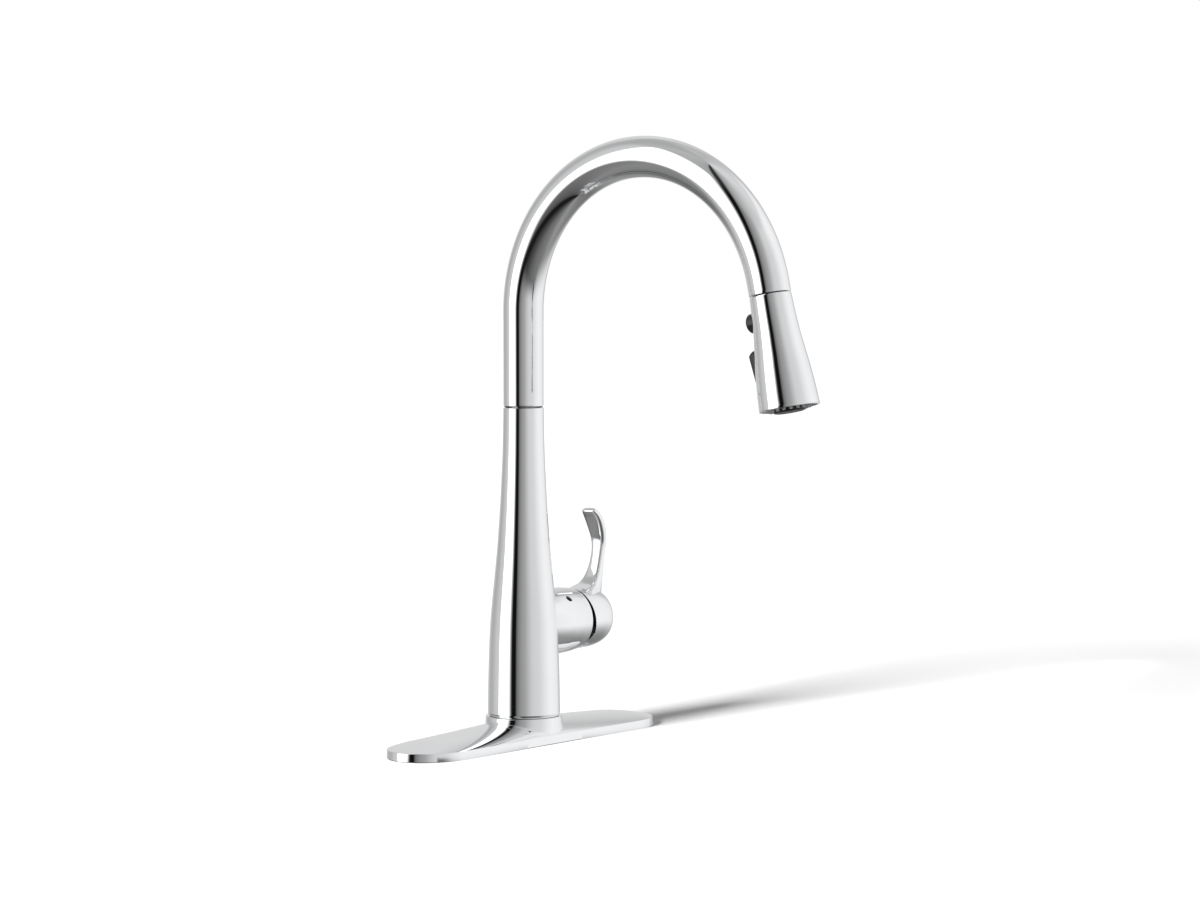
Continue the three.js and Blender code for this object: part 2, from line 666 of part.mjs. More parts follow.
const aerator = onHead(cut(
  solid(turnedDown([[0, 66], [6, 66], [6, 69.6], [8, 70.4], [8, 77.8], [7.4, 78.3], [0, 78.3]], 20)),
  solid(turnedDown([[0, 77.1], [6.4, 77.1], [6.4, 80], [0, 80]], 20)),
));

// ---------- assembly ----------

const parts = [
  ['deck_plate', deckPlate, 'chrome'],
  ['deck_gasket', deckGasket, 'rubber'],
  ['base_o_ring', baseRing, 'rubber'],
  ['body_shell', bodyShell, 'chrome'],
  ['swivel_washer', swivelWasher, 'blackPlastic'],
  ['glide_ring_lower', glideRings[0], 'whitePlastic'],
  ['glide_ring_upper', glideRings[1], 'whitePlastic'],
  ['shank', shank, 'brass'],
  ['clamp_rubber_washer', rubberWasher, 'rubber'],
  ['clamp_steel_washer', steelWasher, 'steel'],
  ['mounting_nut', mountingNut, 'brass'],
  ['clamp_screw_left', clampScrew(-SCREW_CIRCLE), 'steel'],
  ['clamp_screw_right', clampScrew(SCREW_CIRCLE), 'steel'],
  ['valve_manifold', manifold, 'brass'],
  ['cold_inlet_nipple', nipple(PORTS[0]), 'brass'],
  ['mixed_outlet_nipple', nipple(PORTS[1]), 'brass'],
  ['hot_inlet_nipple', nipple(PORTS[2]), 'brass'],
  ['cartridge_housing', cartridgeHousing, 'greyPlastic'],
  ['ceramic_disc_fixed', fixedDisc, 'ceramic'],
  ['cartridge_nut', cartridgeNut, 'brass'],
  ['cartridge_lock_screw', lockScrew, 'steel'],
  ['cartridge_turret', turret, 'whitePlastic'],
  ['ceramic_disc_moving', movingDisc, 'ceramic'],
  ['stem_pin', stemPin, 'steel'],
  ['cartridge_stem', stem, 'brass'],
  ['handle_lever', handle, 'chrome'],
  ['handle_set_screw', setScrew, 'steel'],
  ['set_screw_plug', screwPlug, 'greyPlastic'],
  ['spout_neck', neck, 'chrome'],
  ['neck_retaining_clip', clip(), 'steel'],
  ['dock_collar', dockCollar, 'blackPlastic'],
  ['spray_hose', hose, 'braid'],
  ['hose_coupling', coupling, 'brass'],
  ['hose_tail', hoseTail, 'braid'],
  ['hose_ferrule', ferrule, 'steel'],
  ['hose_washer', hoseWasher, 'rubber'],
  ['head_shell', headShell(), 'chrome'],
  ['head_core', headCore(), 'whitePlastic'],
  ['check_valve', checkValve, 'greyPlastic'],
  ['spray_diverter', diverter, 'greyPlastic'],
  ['nozzle_mat', nozzleMat, 'greyRubber'],
  ['face_plate', facePlate, 'blackPlastic'],
  ['aerator', aerator, 'greyPlastic'],
  ['toggle_pin', togglePin, 'steel'],
  ['spray_toggle', toggle(), 'blackPlastic'],
  ['boost_button', button, 'blackPlastic'],
  ['button_spring', buttonSpring(), 'steel'],
];

function meshOf([name, shape, finish]) {
  const { vertProperties, triVerts } = shape.getMesh();
  const geometry = new THREE.BufferGeometry();
  geometry.setAttribute('position', new THREE.BufferAttribute(new Float32Array(vertProperties), 3));
  geometry.setIndex(new THREE.BufferAttribute(new Uint32Array(triVerts), 1));
  geometry.computeVertexNormals();
  const mesh = new THREE.Mesh(geometry, new THREE.MeshStandardMaterial({ name: `${name}_finish`, ...FINISH[finish] }));
  mesh.name = name;
  return mesh;
}

const faucet = new THREE.Group();
faucet.name = 'pull_down_kitchen_faucet';
for (const entry of parts) faucet.add(meshOf(entry));

export default faucet;
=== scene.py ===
"""Chrome pull down kitchen faucet: surfaces, finishes, floor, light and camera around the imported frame."""

import json
import math

import bmesh
import bpy
import numpy as np
from mathutils import Matrix, Vector


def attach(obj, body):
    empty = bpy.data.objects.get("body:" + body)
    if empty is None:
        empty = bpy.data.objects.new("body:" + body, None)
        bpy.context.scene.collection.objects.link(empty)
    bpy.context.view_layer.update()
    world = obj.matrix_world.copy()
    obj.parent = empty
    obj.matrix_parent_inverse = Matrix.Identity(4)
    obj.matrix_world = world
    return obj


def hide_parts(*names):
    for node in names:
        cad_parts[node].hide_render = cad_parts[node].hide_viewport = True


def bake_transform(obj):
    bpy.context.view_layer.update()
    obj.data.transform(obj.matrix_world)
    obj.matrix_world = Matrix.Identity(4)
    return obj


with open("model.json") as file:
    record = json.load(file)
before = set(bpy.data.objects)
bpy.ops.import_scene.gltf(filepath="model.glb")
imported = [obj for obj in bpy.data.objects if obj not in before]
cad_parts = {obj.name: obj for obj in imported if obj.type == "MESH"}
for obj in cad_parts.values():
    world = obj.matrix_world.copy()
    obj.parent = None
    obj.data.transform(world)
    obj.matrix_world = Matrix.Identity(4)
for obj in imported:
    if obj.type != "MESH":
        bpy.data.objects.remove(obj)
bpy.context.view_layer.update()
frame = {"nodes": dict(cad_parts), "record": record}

MM = 0.001
TAU = 2 * math.pi

# ---------- camera ----------

CAMERA_AT = Vector((-1.8610, -1.5718, 0.3560))
CAMERA_HEADING = Vector((0.7779, 0.6283, 0.0))
CAMERA_PITCH = math.radians(3.563)


def make_camera():
    data = bpy.data.cameras.new("camera")
    data.lens = 104.7
    data.sensor_width = 36.0
    data.clip_end = 60.0
    camera = bpy.data.objects.new("camera", data)
    bpy.context.scene.collection.objects.link(camera)
    ahead = CAMERA_HEADING.normalized() * math.cos(CAMERA_PITCH) - Vector((0, 0, math.sin(CAMERA_PITCH)))
    camera.location = CAMERA_AT
    camera.rotation_euler = ahead.to_track_quat("-Z", "Y").to_euler()
    bpy.context.scene.camera = camera


make_camera()

# ---------- dimensions, in millimetres ----------

PLATE_HALF_LENGTH = 131.0
PLATE_HALF_WIDTH = 28.6
PLATE_END = 35.0
PLATE_EDGE = 5.9
BOSS_TOP = 18.1
BOSS_RADIUS = 26.9
SHANK_RADIUS = 16.4

# Outlines are [radius, station] pairs along the turning axis.
BODY_OUTSIDE = [
    (25.2, 18.4), (25.4, 18.9), (25.2, 36), (24.7, 56.8), (24.2, 70.8),
    (23.4, 84.9), (22.2, 98.9), (20.8, 113), (19.4, 127.1), (18.2, 141.1),
    (17.2, 155.2), (16.3, 169.2), (15.6, 183.3), (14.7, 204.4), (14.15, 233.9),
]
HUB_HEIGHT = 81.6
HUB_OUTSIDE = [(20.9, 6), (22.1, 14), (23, 23), (23.4, 31), (23.2, 39), (22.2, 49.4)]
HUB_END = 50.6
LOCK_SCREW_RISE = math.radians(46.6)

NECK_RADIUS = 14.07
NECK_BORE = 12.0
ARC_START = 301.4
ARC_RADIUS = 106.0
FRONT_ARC_RADIUS = 107.7
HEAD_TILT = math.radians(12.2)
NECK_TAIL = 7.5
HOSE_RADIUS = 6.0
HOSE_BORE = 3.4
HOSE_PULL = 180.0

HEAD_OUTSIDE = [
    (13.95, 0.8), (14.9, 18.6), (16.6, 34.8), (18.2, 47.7), (19.7, 63.9), (20.3, 74.4),
]
BUTTON_AT = 15.9
BUTTON_RADIUS = 6.7
TOGGLE_AT = 46.5
TOGGLE_PIN_DEPTH = 12.2
NOZZLES = 18
NOZZLE_CIRCLE = 13.6

CAP_OUTSIDE = [
    (21.9, 46), (21.7, 60), (21.4, 66), (20.7, 71), (19.4, 75.5), (17, 79), (13.5, 81.6), (8, 83.6),
    (0, 84.6),
]
CAP_RIM_TOP = 51.2  # the cap's rim leans: its lower edge stands further off the hub
CAP_RIM_BOTTOM = 56.7
CAP_DIAMETER = 43.6
CAVITY_RADIUS = 19.4
PUSH_HOLE_RADIUS = 2.7

# ---------- mesh tools ----------


def pchip(points, at):
    """Smooth curve through (value, station) points, with no overshoot, sampled at the stations given."""
    y = np.array([p[0] for p in points], float)
    x = np.array([p[1] for p in points], float)
    h = np.diff(x)
    d = np.diff(y) / h
    m = np.zeros_like(y)
    for i in range(1, len(x) - 1):
        if d[i - 1] * d[i] > 0:
            w1, w2 = 2 * h[i] + h[i - 1], h[i] + 2 * h[i - 1]
            m[i] = (w1 + w2) / (w1 / d[i - 1] + w2 / d[i])
    m[0], m[-1] = d[0], d[-1]
    at = np.atleast_1d(np.asarray(at, float))
    i = np.clip(np.searchsorted(x, at) - 1, 0, len(x) - 2)
    t = (at - x[i]) / h[i]
    t2, t3 = t * t, t * t * t
    return (
        (2 * t3 - 3 * t2 + 1) * y[i]
        + (t3 - 2 * t2 + t) * h[i] * m[i]
        + (3 * t2 - 2 * t3) * y[i + 1]
        + (t3 - t2) * h[i] * m[i + 1]
    )


def smooth_profile(points, steps):
    """The same profile with many more stations."""
    stations = np.linspace(points[0][1], points[-1][1], steps)
    return list(zip(pchip(points, stations), stations))


def mesh_object(name, vertices, faces, smooth_angle=35.0):
    """A new object from millimetre vertices, smooth except where it turns by more than smooth_angle."""
    mesh = bpy.data.meshes.new(name)
    mesh.from_pydata([tuple(v) for v in np.asarray(vertices, float) * MM], [], faces)
    mesh.validate()
    obj = bpy.data.objects.new(name, mesh)
    bpy.context.scene.collection.objects.link(obj)
    fix_normals(obj)
    shade(obj, smooth_angle)
    return obj


def fix_normals(obj):
    bm = bmesh.new()
    bm.from_mesh(obj.data)
    bmesh.ops.remove_doubles(bm, verts=bm.verts, dist=1e-7)
    bmesh.ops.recalc_face_normals(bm, faces=bm.faces)
    if bm.calc_volume(signed=True) < 0:
        bmesh.ops.reverse_faces(bm, faces=bm.faces)
    bm.to_mesh(obj.data)
    bm.free()


def shade(obj, smooth_angle):
    mesh = obj.data
    mesh.polygons.foreach_set("use_smooth", [True] * len(mesh.polygons))
    mesh.set_sharp_from_angle(angle=math.radians(smooth_angle))


def lattice(name, rings, closed=True, smooth_angle=35.0):
    """A closed skin over rings of points. A ring of one repeated point makes a tip."""
    rows, columns = len(rings), len(rings[0])
    vertices = np.concatenate([np.asarray(r, float) for r in rings])
    faces = []
    for i in range(rows if closed else rows - 1):
        j = (i + 1) % rows
        for k in range(columns):
            n = (k + 1) % columns
            faces.append((i * columns + k, i * columns + n, j * columns + n, j * columns + k))
    return mesh_object(name, vertices, faces, smooth_angle)


def circle(columns):
    a = np.arange(columns) * TAU / columns
    return np.cos(a), np.sin(a)


Z_AXIS = (np.array([1, 0, 0]), np.array([0, 1, 0]), np.array([0, 0, 1]))


def turned(name, profile, columns=96, axes=Z_AXIS, origin=(0, 0, 0), smooth_angle=35.0):
    """A turned piece from [radius, station] pairs: a ring, or solid on its axis if it ends at radius 0."""
    c, s = circle(columns)
    u, v, w = axes
    rings = [
        np.outer(max(r, 1e-6) * c, u) + np.outer(max(r, 1e-6) * s, v) + t * w + np.array(origin, float)
        for r, t in profile
    ]
    on_axis = profile[0][0] == 0 and profile[-1][0] == 0
    return lattice(name, rings, closed=not on_axis, smooth_angle=smooth_angle)


def delete(*objs):
    for o in objs:
        mesh = o.data
        bpy.data.objects.remove(o)
        bpy.data.meshes.remove(mesh)


def applied(obj):
    """Turns the object's modifiers into its mesh."""
    depsgraph = bpy.context.evaluated_depsgraph_get()
    mesh = bpy.data.meshes.new_from_object(obj.evaluated_get(depsgraph))
    old = obj.data
    obj.modifiers.clear()
    obj.data = mesh
    bpy.data.meshes.remove(old)
    mesh.name = obj.name
    return obj


def carve(obj, tool, operation="DIFFERENCE", smooth_angle=35.0):
    modifier = obj.modifiers.new("carve", "BOOLEAN")
    modifier.operation = operation
    modifier.solver = "EXACT"
    modifier.object = tool
    applied(obj)
    delete(tool)
    shade(obj, smooth_angle)
    return obj


def polish(obj, surfaces, tolerance=0.02):
    """Exact shading for turned surfaces: a face on one of them takes that surface's own normals.
    Each surface is (origin, axes, profile), with its profile in [radius, station] pairs."""
    mesh = obj.data
    normals = np.zeros(len(mesh.loops) * 3)
    mesh.corner_normals.foreach_get("vector", normals)
    normals = normals.reshape(-1, 3)
    points = np.zeros(len(mesh.vertices) * 3)
    mesh.vertices.foreach_get("co", points)
    points = points.reshape(-1, 3) / MM
    corner = np.zeros(len(mesh.loops), int)
    mesh.loops.foreach_get("vertex_index", corner)
    starts = np.array([p.loop_start for p in mesh.polygons])
    counts = np.array([p.loop_total for p in mesh.polygons])
    flat = np.array([tuple(p.normal) for p in mesh.polygons])
    face_of = np.repeat(np.arange(len(starts)), counts)
    for origin, axes, profile in surfaces:
        u, v, w = axes
        low, high = profile[0][1], profile[-1][1]
        local = points - np.array(origin, float)
        x, y, t = local @ u, local @ v, local @ w
        r = np.hypot(x, y)
        inside = (t > low - tolerance) & (t < high + tolerance)
        wanted = pchip(profile, np.clip(t, low, high))
        on = inside & (np.abs(r - wanted) < tolerance)
        after = np.clip(t + 0.05, low, high)
        before = np.clip(t - 0.05, low, high)
        slope = (pchip(profile, after) - pchip(profile, before)) / np.maximum(after - before, 1e-6)
        safe = np.maximum(r, 1e-9)
        n = np.outer(x / safe, u) + np.outer(y / safe, v) - np.outer(slope, w)
        n /= np.linalg.norm(n, axis=1)[:, None]
        on_corner = on[corner]
        whole = np.add.reduceat(on_corner.astype(int), starts) == counts
        facing = np.einsum("ij,ij->i", n[corner], flat[face_of]) > 0.9
        use = on_corner & whole[face_of] & facing
        normals[use] = n[corner][use]
    mesh.normals_split_custom_set([tuple(n) for n in normals])


# ---------- materials ----------


class Graph:
    """A short way to build a node tree."""

    def __init__(self, name):
        self.material = bpy.data.materials.new(name)
        self.material.use_nodes = True
        self.tree = self.material.node_tree
        self.shader = self.tree.nodes["Principled BSDF"]
        self.coords = self.tree.nodes.new("ShaderNodeTexCoord")

    def node(self, kind, **settings):
        n = self.tree.nodes.new(kind)
        for key, value in settings.items():
            if hasattr(n, key):
                setattr(n, key, value)
            else:
                n.inputs[key].default_value = value
        return n

    def link(self, a, b):
        self.tree.links.new(a, b)

    def set(self, **values):
        for key, value in values.items():
            self.shader.inputs[key.replace("_", " ")].default_value = value

    def noise(self, scale, detail=3.0, rough=0.5, stretch=None, source="Object"):
        n = self.node("ShaderNodeTexNoise")
        n.inputs["Scale"].default_value = scale
        n.inputs["Detail"].default_value = detail
        n.inputs["Roughness"].default_value = rough
        vector = self.coords.outputs[source]
        if stretch:
            mapping = self.node("ShaderNodeMapping")
            mapping.inputs["Scale"].default_value = stretch
            self.link(vector, mapping.inputs["Vector"])
            vector = mapping.outputs["Vector"]
        self.link(vector, n.inputs["Vector"])
        return n.outputs["Fac"]

    def remap(self, value, low, high, start=0.3, end=0.7):
        m = self.node("ShaderNodeMapRange")
        m.inputs["From Min"].default_value = start
        m.inputs["From Max"].default_value = end
        m.inputs["To Min"].default_value = low
        m.inputs["To Max"].default_value = high
        self.link(value, m.inputs["Value"])
        return m.outputs["Result"]

    def colours(self, value, *stops):
        ramp = self.node("ShaderNodeValToRGB")
        elements = ramp.color_ramp.elements
        while len(elements) < len(stops):
            elements.new(0.5)
        for element, (position, colour) in zip(elements, stops):
            element.position = position
            element.color = (*colour, 1.0)
        self.link(value, ramp.inputs["Fac"])
        return ramp.outputs["Color"]

    def math(self, operation, a, b=None):
        m = self.node("ShaderNodeMath", operation=operation)
        for socket, value in zip(m.inputs, (a, b)):
            if value is None:
                continue
            if isinstance(value, (int, float)):
                socket.default_value = value
            else:
                self.link(value, socket)
        return m.outputs[0]

    def bump(self, height, distance, strength=1.0, after=None):
        b = self.node("ShaderNodeBump")
        b.inputs["Strength"].default_value = strength
        b.inputs["Distance"].default_value = distance
        self.link(height, b.inputs["Height"])
        if after is not None:
            self.link(after, b.inputs["Normal"])
        return b.outputs["Normal"]

    def finish(self, colour=None, roughness=None, normal=None):
        for name, value in (("Base Color", colour), ("Roughness", roughness), ("Normal", normal)):
            if value is not None:
                self.link(value, self.shader.inputs[name])
        return self.material


def chrome():
    """Polished plating: nearly a mirror, with faint polishing haze and a trace of waviness."""
    g = Graph("chrome_plate")
    g.set(Metallic=1.0)
    tint = g.colours(g.noise(30.0, 2.0), (0.3, (0.905, 0.912, 0.925)), (0.7, (0.93, 0.935, 0.945)))
    haze = g.remap(g.noise(420.0, 5.0, 0.65, (1.0, 1.0, 0.25)), 0.022, 0.05)
    wave = g.bump(g.noise(22.0, 1.0), 0.00001, 0.5)
    return g.finish(tint, haze, g.bump(g.noise(900.0, 4.0, 0.6, (1.0, 1.0, 0.2)), 0.0000012, 0.5, wave))


def brass():
    """Turned brass: fine tool rings across the axis and a slightly tarnished skin."""
    g = Graph("turned_brass")
    g.set(Metallic=1.0)
    tint = g.colours(
        g.noise(90.0, 5.0, 0.6),
        (0.3, (0.52, 0.37, 0.15)), (0.55, (0.72, 0.55, 0.25)), (0.75, (0.8, 0.64, 0.33)),
    )
    rings = g.noise(1.0, 3.0, 0.6, (60.0, 60.0, 5200.0))
    return g.finish(tint, g.remap(g.noise(160.0, 4.0), 0.22, 0.42), g.bump(rings, 0.00003, 0.45))


def steel():
    """Brushed stainless steel."""
    g = Graph("brushed_steel")
    g.set(Metallic=1.0)
    grain = g.noise(1.0, 4.0, 0.7, (300.0, 3800.0, 3800.0))
    tint = g.colours(grain, (0.3, (0.5, 0.51, 0.52)), (0.7, (0.68, 0.69, 0.7)))
    return g.finish(tint, g.remap(grain, 0.24, 0.4), g.bump(grain, 0.00001, 0.4))


def plastic(name, dark, light, low, high, grain=1600.0, depth=0.00002, coat=0.0):
    """Moulded plastic: a fine spark grain with faint flow marks in its colour."""
    g = Graph(name)
    g.set(Coat_Weight=coat, Coat_Roughness=0.12)
    tint = g.colours(g.noise(55.0, 4.0, 0.6), (0.3, dark), (0.7, light))
    skin = g.noise(grain, 2.0)
    return g.finish(tint, g.remap(g.noise(240.0, 3.0), low, high), g.bump(skin, depth, 0.5))


def blackened_steel():
    """Black oxide on steel, thin enough to show a little metal."""
    g = Graph("blackened_steel")
    g.set(Metallic=0.7)
    tint = g.colours(g.noise(500.0, 4.0), (0.3, (0.012, 0.012, 0.013)), (0.7, (0.04, 0.04, 0.042)))
    return g.finish(tint, g.remap(g.noise(900.0), 0.4, 0.6), g.bump(g.noise(1800.0), 0.00001, 0.4))


def rubber(name, dark, light):
    """Moulded rubber: matt, finely pitted, with a dusty bloom."""
    g = Graph(name)
    g.set(Specular_IOR_Level=0.35)
    bloom = g.noise(120.0, 6.0, 0.7)
    pits = g.node("ShaderNodeTexVoronoi")
    pits.inputs["Scale"].default_value = 2600.0
    g.link(g.coords.outputs["Object"], pits.inputs["Vector"])
    return g.finish(
        g.colours(bloom, (0.3, dark), (0.75, light)), g.remap(bloom, 0.62, 0.85),
        g.bump(pits.outputs["Distance"], 0.00004, 0.5),
    )


def ceramic():
    """Lapped ceramic disc: dense, faintly mottled and smooth."""
    g = Graph("lapped_ceramic")
    tint = g.colours(g.noise(700.0, 5.0, 0.7), (0.3, (0.78, 0.75, 0.68)), (0.7, (0.87, 0.85, 0.8)))
    return g.finish(tint, g.remap(g.noise(200.0), 0.12, 0.24), g.bump(g.noise(1500.0), 0.000004, 0.4))


def braid():
    """Nylon braided hose: two families of crossing strands, laid out on the tube's own UVs."""
    g = Graph("nylon_braid")
    split = g.node("ShaderNodeSeparateXYZ")
    g.link(g.coords.outputs["UV"], split.inputs["Vector"])
    across, along = split.outputs["X"], split.outputs["Y"]

    def strands(sign):
        phase = g.math("MULTIPLY", g.math("ADD", across, g.math("MULTIPLY", along, sign)), TAU)
        return g.math("SINE", phase)

    a, b = strands(1.0), strands(-1.0)
    weave = g.math("ADD", g.math("MULTIPLY", g.math("MULTIPLY", a, b), 0.5), 0.5)
    fibres = g.noise(1.0, 2.0, 0.6, (6.0, 60.0, 1.0), "UV")
    height = g.math("ADD", weave, g.math("MULTIPLY", fibres, 0.25))
    tint = g.colours(
        height, (0.1, (0.09, 0.095, 0.1)), (0.5, (0.28, 0.29, 0.3)), (0.95, (0.46, 0.47, 0.48))
    )
    return g.finish(tint, g.remap(fibres, 0.38, 0.6), g.bump(height, 0.00035, 0.8))


FINISH = {
    "chrome": chrome(),
    "brass": brass(),
    "steel": steel(),
    "ceramic": ceramic(),
    "black_plastic": plastic(
        "black_plastic", (0.003, 0.003, 0.0035), (0.009, 0.009, 0.0095), 0.24, 0.36, coat=0.06
    ),
    "grey_plastic": plastic("grey_plastic", (0.13, 0.135, 0.14), (0.19, 0.195, 0.2), 0.38, 0.52),
    "white_plastic": plastic("white_plastic", (0.68, 0.68, 0.66), (0.77, 0.77, 0.75), 0.3, 0.46),
    "rubber": rubber("black_rubber", (0.008, 0.008, 0.008), (0.03, 0.03, 0.03)),
    "grey_rubber": rubber("grey_silicone", (0.2, 0.203, 0.208), (0.3, 0.303, 0.31)),
    "braid": braid(),
}

black_oxide = blackened_steel()
slot_of = {entry["node"]: entry["material_slot"] for entry in frame["record"]["subparts"]}


def finish_piece(obj, slot, body, *nodes):
    """Gives a new piece its material, its body and the CAD nodes it stands for."""
    obj.data.materials.clear()
    obj.data.materials.append(FINISH[slot])
    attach(obj, body)
    if nodes:
        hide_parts(*nodes)
    return obj


# ---------- frames for the pieces ----------

HUB_AXES = (np.array([0, 1, 0]), np.array([0, 0, 1]), np.array([1, 0, 0]))
HUB_ORIGIN = (0, 0, HUB_HEIGHT)
DOWN = np.array([0, -math.sin(HEAD_TILT), -math.cos(HEAD_TILT)])
FACING = np.array([0, math.cos(HEAD_TILT), -math.sin(HEAD_TILT)])
ACROSS = np.array([1, 0, 0])
HEAD_AXES = (ACROSS, FACING, DOWN)


def neck_path(start, step=2.0, tail=NECK_TAIL):
    """Centre line of the spout as (point, forward, outward) triples in millimetres."""
    stations = []

    def add(y, z, over):
        forward = np.array([0, -math.sin(over), math.cos(over)])
        outward = np.array([0, math.cos(over), math.sin(over)])
        stations.append((np.array([0.0, y, z]), forward, outward))

    for z in np.linspace(start, ARC_START, max(2, int((ARC_START - start) / step)), endpoint=False):
        add(0.0, z, 0.0)
    count = int(ARC_RADIUS * math.pi / 2 / step)
    for i in range(count):
        a = math.pi / 2 * i / count
        add(-ARC_RADIUS * (1 - math.cos(a)), ARC_START + ARC_RADIUS * math.sin(a), a)
    sweep = math.pi / 2 - HEAD_TILT
    top = ARC_START + ARC_RADIUS - FRONT_ARC_RADIUS
    count = int(FRONT_ARC_RADIUS * sweep / step)
    for i in range(count + 1):
        a = sweep * i / count
        y, z = -ARC_RADIUS - FRONT_ARC_RADIUS * math.sin(a), top + FRONT_ARC_RADIUS * math.cos(a)
        add(y, z, math.pi / 2 + a)
    if tail > 0:
        point, forward, outward = stations[-1]
        for s in np.linspace(0, tail, 4)[1:]:
            stations.append((point + forward * s, forward, outward))
    return stations


SEAM = neck_path(ARC_START)[-1][0]


def section(station, radius, columns):
    point, _, outward = station
    c, s = circle(columns)
    return point + np.outer(radius * c, ACROSS) + np.outer(radius * s, outward)


# ---------- deck plate ----------


def outline_reach(a):
    """How far out a ray at angle a meets the plate's outline: straight sides and elliptical ends."""
    spine = PLATE_HALF_LENGTH - PLATE_END
    c, s = abs(math.cos(a)), abs(math.sin(a))
    width, end = PLATE_HALF_WIDTH, PLATE_END
    if s > 1e-9 and width * c / s <= spine:
        reach = width / s
    else:
        qa = c * c / end**2 + s * s / width**2
        qb = -2 * spine * c / end**2
        qc = spine**2 / end**2 - 1
        reach = (-qb + math.sqrt(qb * qb - 4 * qa * qc)) / (2 * qa)
    return reach


def plate_height(x, y):
    beyond = max(0.0, abs(x) - (PLATE_HALF_LENGTH - PLATE_END)) / PLATE_END
    s = min(1.0, math.hypot(beyond, y / PLATE_HALF_WIDTH))
    ridge = 16.7 - 0.06 * abs(x)
    crown = ((1 - (0.93 * s) ** 2) ** 0.7 - 0.247) / 0.753
    return PLATE_EDGE + (ridge - PLATE_EDGE) * crown


# The boss's foot: heights, and how far out each lies
FLARE = [
    (BOSS_TOP - 0.6, 0.0), (14.5, 0.3), (12, 0.8), (10, 1.5), (8.6, 2.2), (6.5, 3.2), (3, 4.2), (0, 5),
]
SPREAD_LOSS = 0.92  # how much less the foot spreads across the plate than along it


def boss_height(x, y):
    """Height of the boss's flared foot, which spreads further along the plate than across it."""
    r = math.hypot(x, y)
    spread = 1 - SPREAD_LOSS * (y / r) ** 2
    return float(pchip(FLARE, min(4.99, max(0.0, (r - BOSS_RADIUS) / spread)))[0])


def soft_max(a, b, blend):
    h = max(blend - abs(a - b), 0.0) / blend
    return max(a, b) + h * h * blend / 4


def plate_angles():
    """Ray angles that land about evenly along the outline."""
    dense = np.linspace(0, TAU, 7200, endpoint=False)
    reach = np.array([outline_reach(a) for a in dense])
    x, y = reach * np.cos(dense), reach * np.sin(dense)
    step = np.hypot(np.diff(np.append(x, x[0])), np.diff(np.append(y, y[0])))
    arc = np.concatenate([[0], np.cumsum(step)[:-1]]) / step.sum()
    mixed = 0.55 * arc + 0.45 * dense / TAU
    return np.interp(np.linspace(0, 1, 288, endpoint=False), mixed, dense)


def deck_plate():
    edge_round = 0.5
    draft = 0.25
    loops = []
    for a in plate_angles():
        c, s = math.cos(a), math.sin(a)
        reach = outline_reach(a)
        spread = 1 - SPREAD_LOSS * s * s
        line = [
            (17.4, 3.2), (17.4, BOSS_TOP), (20.1, BOSS_TOP), (20.1, 16.4), (22.9, 16.4), (22.9, BOSS_TOP),
        ]
        for k in range(6):
            b = math.pi / 2 * k / 5
            line.append((BOSS_RADIUS - 0.6 + 0.6 * math.sin(b), BOSS_TOP - 0.6 + 0.6 * math.cos(b)))
        limit = reach - edge_round - draft
        foot = min(BOSS_RADIUS + 5 * spread, limit)
        radii = list(BOSS_RADIUS + (foot - BOSS_RADIUS) * (np.arange(1, 23) / 22) ** 1.4)
        radii += list(foot + (limit - foot) * np.sin(math.pi / 2 * np.arange(1, 31) / 30))
        for r in radii:
            x, y = r * c, r * s
            line.append((r, soft_max(plate_height(x, y), boss_height(x, y), 1.2)))
        top = line[-1][1]
        for k in range(1, 7):
            b = math.pi / 2 * k / 6
            line.append((limit + edge_round * math.sin(b), top - edge_round * (1 - math.cos(b))))
        line += [
            (reach, 0.5), (reach - 0.3, 0.0), (reach - 2.9, 0.0), (reach - 3.0, 0.1), (reach - 3.0, 3.2),
        ]
        loops.append([(r * c, r * s, z) for r, z in line])
    rings = [np.array([loop[i] for loop in loops]) for i in range(len(loops[0]))]
    return lattice("deck_plate_skin", rings, smooth_angle=24.0)


finish_piece(deck_plate(), "chrome", "base", "deck_plate")

# ---------- body with its valve hub ----------


def body():
    outside = smooth_profile(BODY_OUTSIDE, 110)
    bore = [
        (13.7, 234.3), (12.6, 234.3), (12.6, 172), (14.4, 171.7), (14.6, 145),
        (17, 120), (20.4, 95), (20.4, 38), (16.7, 34), (16.7, 18.4),
    ]
    shell = turned("body_skin", [(24.9, 18.4), *outside[1:], *bore], 128)
    hub_profile = smooth_profile(HUB_OUTSIDE, 40)
    rim = [(22.05, 50.0), (21.8, 50.35), (21.4, HUB_END)]
    hub = turned("hub", [(0, 6), *hub_profile, *rim, (0, HUB_END)], 128, HUB_AXES, HUB_ORIGIN)
    carve(shell, hub, "UNION")
    clear = [(0, 17), (16.7, 17), (16.7, 34), (20.4, 38), (20.4, 95), (17, 120), (0, 120)]
    carve(shell, turned("clear", clear, 96))
    hub_bore = [(0, 2), (18.4, 2), (18.4, 50.0), (18.9, 50.7), (18.9, 53), (0, 53)]
    carve(shell, turned("bore", hub_bore, 96, HUB_AXES, HUB_ORIGIN))
    out = np.array([0, -math.cos(LOCK_SCREW_RISE), math.sin(LOCK_SCREW_RISE)])
    screw_axes = (ACROSS, np.cross(out, ACROSS), out)
    recess = [(0, 17), (2.25, 17), (2.25, 22.2), (2.6, 23.4), (2.6, 27), (0, 27)]
    hole = turned("hole", recess, 40, screw_axes, (30.6, 0, HUB_HEIGHT))
    carve(shell, hole, smooth_angle=30.0)
    polish(shell, [((0, 0, 0), Z_AXIS, outside[1:]), (HUB_ORIGIN, HUB_AXES, hub_profile)])
    return shell


